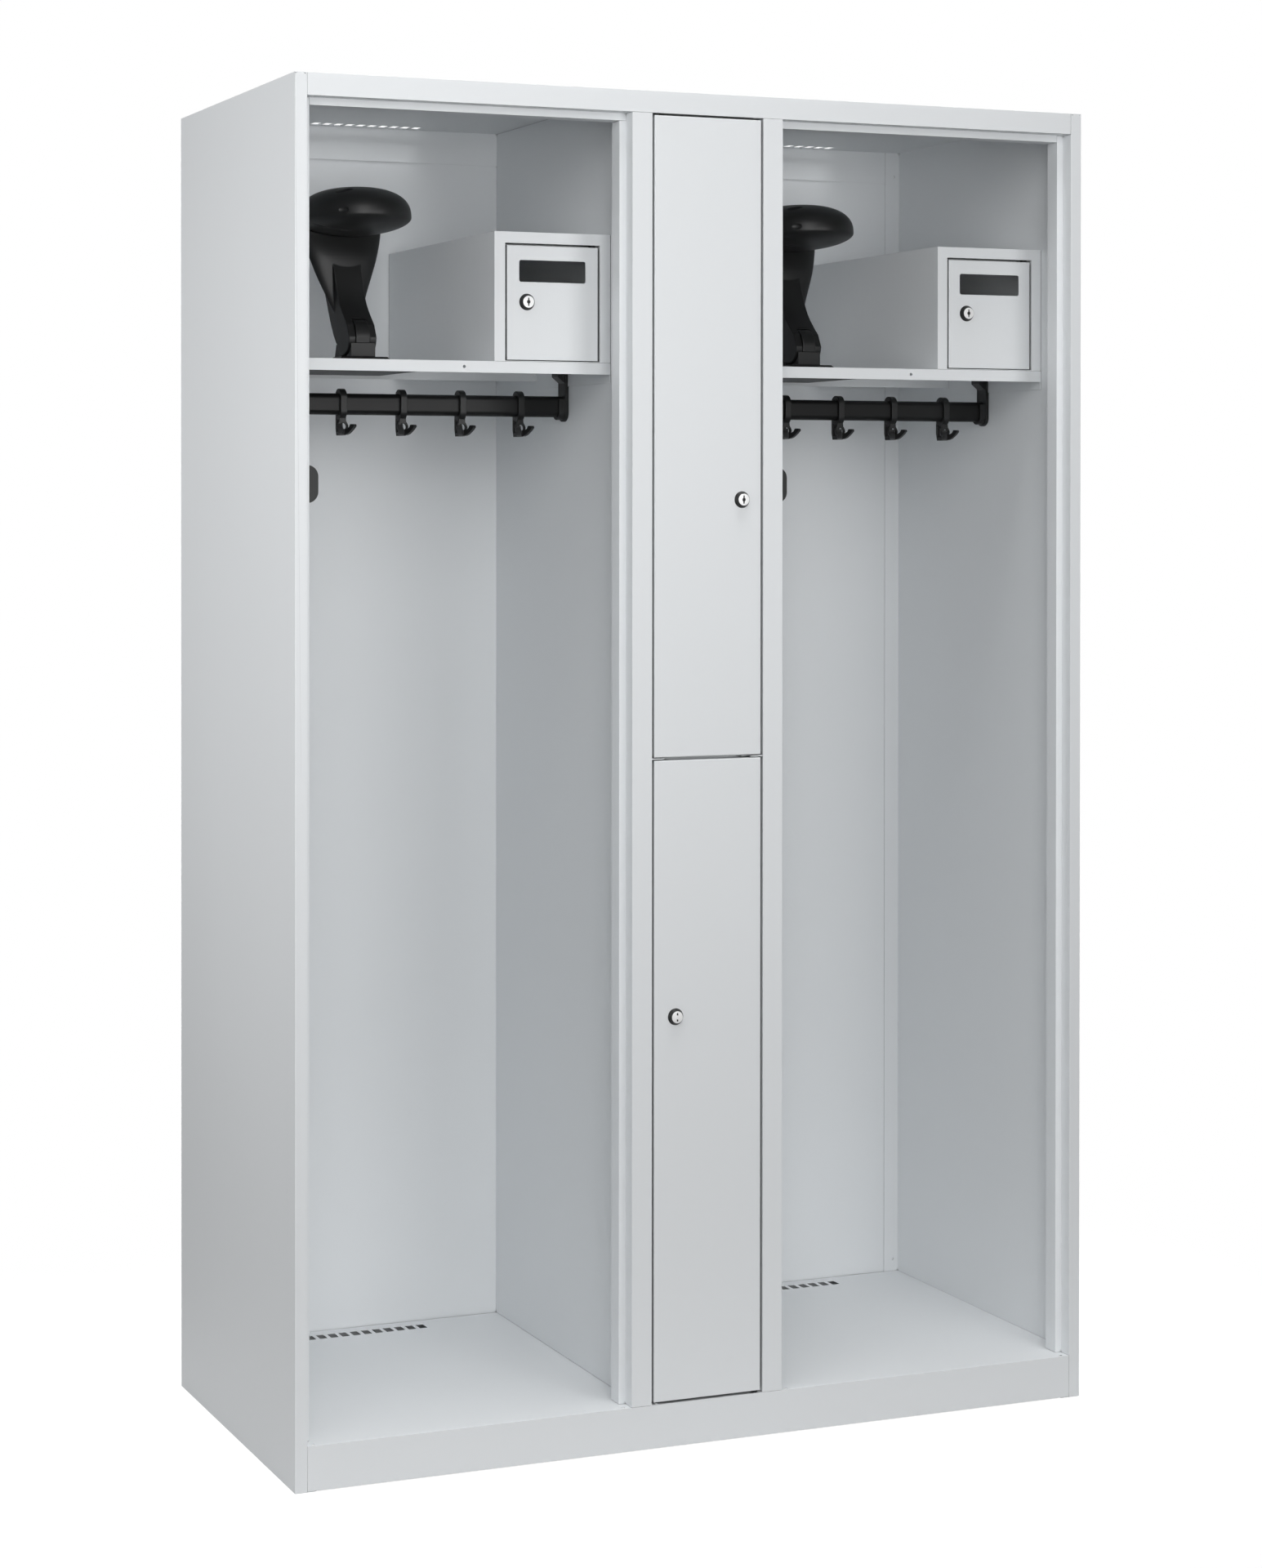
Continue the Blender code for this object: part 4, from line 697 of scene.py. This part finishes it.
def make_helmet_arm(bay):
    """Two round ears round the tongue, and a slanting arm that flares into the neck under the cap."""
    hinge = helmet_hinge(bay)
    centre = (hinge.y, hinge.z)
    profile = arc(centre, (EAR_RADIUS, EAR_RADIUS), 180, 340, 48)
    for across, along in (eased(ARM_FRONT, 5) + ARM_REAR)[::-1]:
        profile.append((hinge.y + across * EAR_RADIUS, hinge.z + along * EAR_RADIUS))
    arm = prism(profile, "X", hinge.x - EAR_SPAN / 2, hinge.x + EAR_SPAN / 2)
    rings = []
    for half_width, half_depth, behind, above in eased(NECK, 5):
        points = arc((hinge.x, hinge.y + behind), (half_width, half_depth), 0, 360, 72)[:-1]
        rings.append([(*point, hinge.z + above) for point in points])
    join(arm, loft(rings))
    half_slot = TONGUE_WIDTH / 2 + 0.4 * MM
    slot = prism(disc(centre, TONGUE_RADIUS + 0.8 * MM, 96), "X", hinge.x - half_slot, hinge.x + half_slot)
    reach = EAR_SPAN / 2 - 1.5 * MM
    bore = prism(disc(centre, 3.4 * MM), "X", hinge.x - reach, hinge.x + reach)
    rim = hinge + Vector((0, DOME_BEHIND_HINGE, DOME_RIM_ABOVE_HINGE))
    cut(arm, slot, bore, dome_skin(rim, 72, 16, allowance=0.3 * MM))
    moulded(arm, 0.8 * MM, 3)
    fit(arm, bay + "_helmet_bracket", "black_plastic", bay + "_helmet_holder", bay + "_helmet_arm")


def make_helmet_foot(bay):
    """Bevelled foot plate with its hinge block, the round pockets for the ears, the tongue and the pin."""
    hinge = helmet_hinge(bay)
    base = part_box(bay + "_helmet_foot")[0].z
    front, rear = hinge.y - HINGE_BEHIND_FOOT, hinge.y + FOOT_BEHIND_HINGE
    plate_top = base + FOOT_THICKNESS
    rings = []
    for level, inset in ((base, 0), (plate_top, FOOT_BEVEL)):
        wide, narrow = FOOT_HALF_WIDTH - inset, FOOT_REAR_HALF_WIDTH - inset
        corners = [(-wide, front + inset), (wide, front + inset), (wide, hinge.y + 2 * MM)]
        corners += [(narrow, rear - inset), (-narrow, rear - inset), (-wide, hinge.y + 2 * MM)]
        rings.append([(hinge.x + x, y, level) for x, y in corners])
    foot = loft(rings)
    block_front, block_foot, block_top = hinge.y - BLOCK_BEFORE_HINGE, base + 0.3 * MM, base + BLOCK_TOP
    profile = [(block_front, block_foot), (hinge.y + BLOCK_BEHIND_HINGE_BELOW, block_foot)]
    profile += [(hinge.y + BLOCK_BEHIND_HINGE_ABOVE, block_top), (block_front, block_top)]
    block = prism(profile, "X", hinge.x - BLOCK_HALF_WIDTH, hinge.x + BLOCK_HALF_WIDTH)
    pockets = []
    for side in (-1, 1):
        inner, outer = hinge.x + side * (TONGUE_WIDTH / 2 - 0.3 * MM), hinge.x + side * 20 * MM
        pockets.append(prism(disc((hinge.y, hinge.z), POCKET_RADIUS, 96), "X", inner, outer))
    cut(block, *pockets)
    outline = arc((hinge.y, hinge.z), (TONGUE_RADIUS, TONGUE_RADIUS), 0, 180, 64)
    relief = hinge.y - TONGUE_RADIUS + 0.9 * MM
    outline += [(relief, hinge.z - 7 * MM), (relief, plate_top - MM)]
    outline += [(hinge.y + TONGUE_RADIUS, plate_top - MM)]
    tongue = prism(outline, "X", hinge.x - TONGUE_WIDTH / 2, hinge.x + TONGUE_WIDTH / 2)
    half_pin = EAR_SPAN / 2 - 1.9 * MM
    pin = prism(disc((hinge.y, hinge.z), PIN_RADIUS), "X", hinge.x - half_pin, hinge.x + half_pin)
    join(foot, block, tongue, pin)
    for side in (-1, 1):
        for along in (front + 16 * MM, rear - 19 * MM):
            sink = disc((hinge.x + side * 23 * MM, along), SCREW_SINK_RADIUS, 32)
            cut(foot, prism(sink, "Z", plate_top - SCREW_SINK_DEPTH, plate_top + MM))
    moulded(foot, 0.45 * MM, 2)
    fit(foot, bay + "_helmet_base", "black_plastic", "cabinet", bay + "_helmet_foot")


# Side profile of a hook's prong from its root, as shares of its reach and its rise
PRONG = [(-0.12, 0.0), (0.26, 0.02), (0.47, 0.13), (0.65, 0.32), (0.85, 0.57), (1.0, 0.82)]
PRONG += [(0.96, 1.0), (0.68, 1.0), (0.58, 0.73), (0.39, 0.60), (-0.12, 0.53)]


def hook_prong(side, face, bottom):
    """One rising prong that points forward and out to its side."""
    outline = [(-(2.0 + reach * 20.8) * MM, bottom + (0.3 + rise * 15.0) * MM) for reach, rise in PRONG]
    prong = prism(outline, "X", -PRONG_HALF_WIDTH, PRONG_HALF_WIDTH)
    turn = Matrix.Rotation(math.radians(PRONG_TURN_DEG) * side, 4, "Z")
    prong.data.transform(Matrix.Translation((0, face + 2.0 * MM, 0)) @ turn)
    return prong


def hook_shape():
    """One double hook round the rail's middle line at the origin: band, ribbed web, eye and two prongs."""
    inner_width, inner_height = RAIL_DEPTH / 2 + HOOK_PLAY, RAIL_HEIGHT / 2 + HOOK_PLAY
    outer_width, outer_height = inner_width + HOOK_BAND, inner_height + HOOK_CROWN
    rear = outer_width - 0.3 * MM
    face = -outer_width + 4.8 * MM
    bottom = HOOK_BOTTOM
    eye = (0, HOOK_EYE_LEVEL)
    band = upright_slot((0, 0), outer_width, outer_height)
    hook = prism(band, "X", -HOOK_HALF_WIDTH, HOOK_HALF_WIDTH)
    strap = [(rear - 4.0 * MM, 0), (rear - 4.0 * MM, bottom + 5.0 * MM), (face, bottom + 5.0 * MM)]
    strap += [(face, bottom), (rear - 3.0 * MM, bottom), (rear, bottom + 10 * MM), (rear, 0)]
    web_front, web_rear = face + 1.8 * MM, rear - 2.0 * MM
    web = [(web_front, -17.6 * MM), (web_front, bottom + 2.5 * MM)]
    web += [(web_rear, bottom + 2.5 * MM), (web_rear, -15.4 * MM)]
    tools = [
        prism(strap, "X", -STRAP_HALF_WIDTH, STRAP_HALF_WIDTH),
        prism(web, "X", -WEB_HALF_WIDTH, WEB_HALF_WIDTH),
    ]
    neck = [(-4.6, -14.0), (-4.7, -22.4), (-5.1, -24.2), (-5.9, -25.4), (-7.0, -27.6), (-5.0, -31.2)]
    neck += [(-across, height) for across, height in neck[::-1]]
    tools.append(prism([(x * MM, z * MM) for x, z in neck], "Y", face, face + EYE_PLATE))
    tools.append(prism(disc(eye, EYE_RADIUS), "Y", face, face + EYE_PLATE))
    upper, lower, half = -18.4 * MM, -23.6 * MM, RIB_HALF_THICKNESS
    middle = (web_front + web_rear) / 2
    ribs = []
    for before, behind in ((upper, lower), (lower, upper)):
        ribs.append([(web_front, before - half), (web_rear, behind - half)])
        ribs[-1] += [(web_rear, behind + half), (web_front, before + half)]
    ribs.append([(middle - half, lower), (middle + half, lower)])
    ribs[-1] += [(middle + half, bottom + 3 * MM), (middle - half, bottom + 3 * MM)]
    tools += [prism(rib, "X", -RIB_HALF_WIDTH, RIB_HALF_WIDTH) for rib in ribs]
    join(hook, *tools)
    join(hook, hook_prong(-1, face, bottom), hook_prong(1, face, bottom))
    through = prism(upright_slot((0, 0), inner_width, inner_height), "X", -9 * MM, 9 * MM)
    cut(hook, through)
    cut(hook, prism(disc(eye, EYE_HOLE_RADIUS), "Y", face - 2 * MM, face + EYE_PLATE + 2 * MM))
    return moulded(hook, 0.36 * MM, 2)


def rail_middle(bay):
    """The rail's middle line, as y and z."""
    low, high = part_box(bay + "_clothes_rail")
    return (low.y + high.y) / 2, (low.z + high.z) / 2


def make_sliding_hooks():
    """Ten hooks from one mould."""
    shape = hook_shape()
    paint(shape, "black_plastic")
    for bay in BAYS:
        y, z = rail_middle(bay)
        for index in range(1, HOOKS + 1):
            node = f"{bay}_sliding_hook_{index}"
            low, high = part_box(node)
            hook = bpy.data.objects.new(f"{bay}_coat_hook_{index}", shape.data)
            hook.location = ((low.x + high.x) / 2, y, z)
            bpy.context.scene.collection.objects.link(hook)
            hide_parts(node)
            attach(hook, node)
    bpy.data.objects.remove(shape)


def make_rail(bay):
    """Oval tube, smooth all round, with its bore."""
    low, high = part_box(bay + "_clothes_rail")
    centre = rail_middle(bay)
    rail = prism(upright_slot(centre, RAIL_DEPTH / 2, RAIL_HEIGHT / 2, 64), "X", low.x, high.x)
    half_depth, half_height = RAIL_DEPTH / 2 - RAIL_WALL, RAIL_HEIGHT / 2 - RAIL_WALL
    cut(rail, prism(upright_slot(centre, half_depth, half_height, 64), "X", low.x - MM, high.x + MM))
    smooth_shaded(rail)
    fit(rail, bay + "_hanging_rail", "black_tube", "cabinet", bay + "_clothes_rail")


def make_rail_bracket(bay, side, side_name):
    """Hanging bracket: rounded plate with room for the shelf's flange, open cradle for the rail, gusset."""
    node = f"{bay}_rail_bracket_{side_name}"
    low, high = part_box(node)
    y, z = rail_middle(bay)
    wall = high.x if side > 0 else low.x
    top = high.z
    plate_inner, inner = wall - side * PLATE_THICKNESS, wall - side * CRADLE_REACH
    plate = arc((y, low.z + PLATE_RADIUS), (PLATE_RADIUS, PLATE_RADIUS), 180, 360, 40)
    plate += [(y + PLATE_RADIUS, top), (y - PLATE_RADIUS, top)]
    bracket = prism(plate, "X", wall, plate_inner)
    half_cradle = RAIL_DEPTH / 2 + CRADLE_WALL
    cradle_top = z + RAIL_HEIGHT / 2 - CRADLE_BELOW_RAIL_TOP
    cradle = arc((y, z - RAIL_DEPTH / 2), (half_cradle, half_cradle), 180, 360, 40)
    cradle += [(y + half_cradle, cradle_top), (y - half_cradle, cradle_top)]
    root, tip = plate_inner + side * MM, plate_inner - side * GUSSET_REACH
    gusset = [(root, top), (tip, top), (tip, top - GUSSET_TIP_HEIGHT), (root, top - GUSSET_ROOT_HEIGHT)]
    join(
        bracket,
        prism(cradle, "X", root, inner),
        prism(gusset, "Y", y - half_cradle + MM, y + half_cradle - MM),
    )
    socket = upright_slot((y, z), RAIL_DEPTH / 2 + SOCKET_PLAY, RAIL_HEIGHT / 2 + SOCKET_PLAY)
    cut(bracket, prism(socket, "X", plate_inner, inner - side * 2 * MM))
    front, rear = y - 15 * MM, y + 15 * MM
    foot, above = top - FLANGE_ROOM_HEIGHT, top + 2 * MM
    room = [(front, foot), (rear, foot), (rear, above), (front, above)]
    cut(bracket, prism(room, "X", wall + side * 2 * MM, wall - side * FLANGE_ROOM_DEPTH))
    smooth_shaded(bracket)
    soften(bracket, 0.5 * MM, 2, 40)
    fit(bracket, node + "_moulding", "black_plastic", "cabinet", node)


# Section of the channel in millimetres: place across from its middle, and depth below the shelf's sheet
CHANNEL = [(-96, 1.0), (-79, 1.0), (-79, 10.1), (79, 10.1), (79, 1.0), (96, 1.0)]
CHANNEL += [(96, 0.05), (78, 0.05), (78, 9.1), (-78, 9.1), (-78, 0.05), (-96, 0.05)]


def make_shelf_stiffener(bay):
    """Folded channel under the hat shelf, from front to rear, below the helmet holder. Its dark grey is
    painted shade.
    """
    low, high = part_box(bay + "_hat_shelf")
    middle, top = helmet_hinge(bay).x, high.z - MM
    outline = [(middle + across * MM, top - depth * MM) for across, depth in CHANNEL]
    channel = prism(outline, "Y", low.y + 1.3 * MM, high.y - 1.3 * MM)
    soften(channel, 0.3 * MM, 2, 40)
    # Painted shade: the channel is dark grey because the shelf's underside lies in shade, not because its
    # coat is dark.
    fit(channel, bay + "_shelf_stiffener", "painted_shade_steel", "cabinet")


def make_side_hook(bay):
    """Flat hook with a rounded nose on its base plate."""
    node = bay + "_side_hook"
    low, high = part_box(node)
    centre_x, radii = high.x - NOSE_RADIUS, (NOSE_RADIUS, NOSE_RADIUS)
    outline = [(low.x, high.z), (low.x, low.z)]
    outline += arc((centre_x, low.z + NOSE_RADIUS), radii, 270, 360, 20)
    outline += arc((centre_x, high.z - NOSE_RADIUS), radii, 0, 90, 20)
    blade = prism(outline, "Y", low.y, low.y + BLADE_THICKNESS)
    face = low.x + BASE_THICKNESS
    base = [(low.x, low.z), (face, low.z), (face, high.z), (low.x, high.z)]
    join(blade, prism(base, "Y", low.y, high.y))
    smooth_shaded(blade)
    soften(blade, 1.2 * MM, 3, 40)
    fit(blade, bay + "_flat_hook", "black_plastic", "cabinet", node)


# Lathe profiles of a lock in millimetres: radius, and distance behind the front
COLLAR = [(7.0, 0.5), (7.4, 0.12), (8.0, 0.0), (8.45, 0.12), (8.75, 0.5), (9.35, 1.9), (9.95, 3.2)]
COLLAR += [(10.6, 4.3), (11.1, 4.95), (11.4, 5.35), (11.5, 5.7), (9.25, 5.7)]
PLUG = [(0.01, 0.0), (7.55, 0.0), (7.95, 0.06), (8.15, 0.22), (8.2, 0.42), (6.6, 0.42), (6.5, 0.9)]
THREAD_START, THREAD_PITCH = 7.3, 1.0
THREAD_RADIUS, THREAD_ROOT, PLUG_BORE = 9.25, 8.85, 6.85

# Each lock with the body of its housing and the body of its plug and cam
LOCKS = {
    "upper_door": ("upper_door", "upper_door_lock"),
    "lower_door": ("lower_door", "lower_door_lock"),
    "left_box": ("left_box_door", "left_box_lock"),
    "right_box": ("right_box_door", "right_box_lock"),
}


def make_lock(prefix, door_body, lock_body):
    """Cylinder lock: black collar on a threaded barrel, bright plug with a key slot, plated cam."""
    low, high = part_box(prefix + "_lock_housing")
    centre = ((low.x + high.x) / 2, (low.z + high.z) / 2)
    face, length = low.y, (high.y - low.y) / MM
    profile, depth = list(COLLAR), THREAD_START
    while depth < length - 1.2:
        profile += [(THREAD_RADIUS, depth), (THREAD_ROOT, depth + 0.45), (THREAD_RADIUS, depth + 0.9)]
        depth += THREAD_PITCH
    profile += [(THREAD_RADIUS, length - 0.4), (THREAD_ROOT, length), (PLUG_BORE, length), (PLUG_BORE, 0.5)]
    housing = turned([(radius * MM, face + level * MM) for radius, level in profile], centre)
    smooth_shaded(housing, 25)
    fit(housing, prefix + "_lock_collar", "black_plastic", door_body, prefix + "_lock_housing")

    low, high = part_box(prefix + "_lock_plug")
    front = face - PLUG_PROUD
    end = (high.y - front) / MM - 4.8
    profile = PLUG + [(6.5, end), (0.01, end)]
    plug = turned([(radius * MM, front + level * MM) for radius, level in profile], centre)
    square = square_about(centre, PLUG_SQUARE_HALF)
    join(plug, prism(square, "Y", high.y - PLUG_SQUARE_LENGTH, high.y))
    keyhole = upright_slot(centre, KEYHOLE_HALF_WIDTH, KEYHOLE_HALF_HEIGHT, 24)
    cut(plug, prism(keyhole, "Y", front - MM, front + KEYHOLE_DEPTH))
    cut(plug, prism(disc(centre, KEYHOLE_RADIUS, 40), "Y", front - MM, front + KEYHOLE_DEPTH))
    smooth_shaded(plug, 25)
    fit(plug, prefix + "_lock_cylinder", "bright_steel", lock_body, prefix + "_lock_plug")

    guide = prism(disc(centre, GUIDE_RADIUS, 40), "Y", front + 0.7 * MM, front + 2.4 * MM)
    key_slot = upright_slot(centre, KEY_SLOT_HALF_WIDTH, KEY_SLOT_HALF_HEIGHT, 16)
    cut(guide, prism(key_slot, "Y", front, front + 2.2 * MM))
    smooth_shaded(guide)
    fit(guide, prefix + "_lock_key_guide", "black_plastic", lock_body)

    low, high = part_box(prefix + "_lock_cam")
    radius, corner = (high.x - low.x) / 2, (CAM_CORNER, CAM_CORNER)
    outline = arc((centre[0], low.z + radius), (radius, radius), 180, 360, 32)
    outline += arc((centre[0] + radius - CAM_CORNER, high.z - CAM_CORNER), corner, 0, 90, 8)
    outline += arc((centre[0] - radius + CAM_CORNER, high.z - CAM_CORNER), corner, 90, 180, 8)
    cam = prism(outline, "Y", low.y, high.y)
    hole = square_about(centre, PLUG_SQUARE_HALF + 0.3 * MM)
    cut(cam, prism(hole, "Y", low.y - MM, high.y + MM))
    smooth_shaded(cam)
    soften(cam, 0.25 * MM, 2, 40)
    fit(cam, prefix + "_lock_tongue", "zinc_steel", lock_body, prefix + "_lock_cam")


def make_camera():
    """The photograph's view: level within half a degree, with the frame shifted."""
    data = bpy.data.cameras.new("camera")
    data.sensor_width = SENSOR
    data.lens = SENSOR * FOCAL_PIXELS / IMAGE_HEIGHT
    data.shift_x = (IMAGE_WIDTH / 2 - AXIS_PIXEL[0]) / IMAGE_HEIGHT
    data.shift_y = -(IMAGE_HEIGHT / 2 - AXIS_PIXEL[1]) / IMAGE_HEIGHT
    data.clip_end = CLIP_END
    camera = bpy.data.objects.new("camera", data)
    camera.location = CAMERA_PLACE
    camera.rotation_euler = (math.radians(90 - CAMERA_DIP_DEG), 0, -math.radians(CAMERA_TURN_DEG))
    bpy.context.scene.collection.objects.link(camera)
    bpy.context.scene.camera = camera


def make_floor():
    """A round pale floor under the cabinet."""
    mesh = bpy.data.meshes.new("studio_floor")
    shape = bmesh.new()
    bmesh.ops.create_circle(shape, cap_ends=True, segments=96, radius=FLOOR_RADIUS)
    shape.to_mesh(mesh)
    shape.free()
    floor = bpy.data.objects.new("studio_floor", mesh)
    floor.location.z = -FLOOR_BELOW
    bpy.context.scene.collection.objects.link(floor)
    mesh.materials.append(studio_floor())


def make_lights():
    """Soft even studio light: a white backdrop that only the camera sees, and soft boxes all round."""
    world = bpy.data.worlds.new("studio")
    bpy.context.scene.world = world
    bpy.context.scene.view_settings.view_transform = "Standard"
    world.use_nodes = True
    tree = world.node_tree
    surround = tree.nodes["Background"]
    surround.inputs["Color"].default_value = (1.0, 1.0, 1.0, 1.0)
    surround.inputs["Strength"].default_value = SURROUND
    backdrop = tree.nodes.new("ShaderNodeBackground")
    backdrop.inputs["Color"].default_value = (1.0, 1.0, 1.0, 1.0)
    seen = tree.nodes.new("ShaderNodeLightPath")
    blend = tree.nodes.new("ShaderNodeMixShader")
    tree.links.new(seen.outputs["Is Camera Ray"], blend.inputs[0])
    tree.links.new(surround.outputs[0], blend.inputs[1])
    tree.links.new(backdrop.outputs[0], blend.inputs[2])
    tree.links.new(blend.outputs[0], tree.nodes["World Output"].inputs["Surface"])
    for name, (place, size, power) in SOFT_BOXES.items():
        data = bpy.data.lights.new(name, "AREA")
        data.shape = "SQUARE"
        data.size = size
        data.energy = power
        light = bpy.data.objects.new(name, data)
        light.location = place
        light.visible_camera = False
        aim = Vector((0, 0, CAD_BOX[1].z / 2)) - Vector(place)
        light.rotation_euler = aim.to_track_quat("-Z", "Y").to_euler()
        bpy.context.scene.collection.objects.link(light)


make_camera()
make_lights()
make_floor()
dress_all_nodes()
for bay in BAYS:
    make_helmet_dome(bay)
    make_helmet_arm(bay)
    make_helmet_foot(bay)
    make_shelf_stiffener(bay)
    make_rail(bay)
    make_rail_bracket(bay, -1, "left")
    make_rail_bracket(bay, 1, "right")
    make_side_hook(bay)
make_sliding_hooks()
for prefix, bodies in LOCKS.items():
    make_lock(prefix, *bodies)
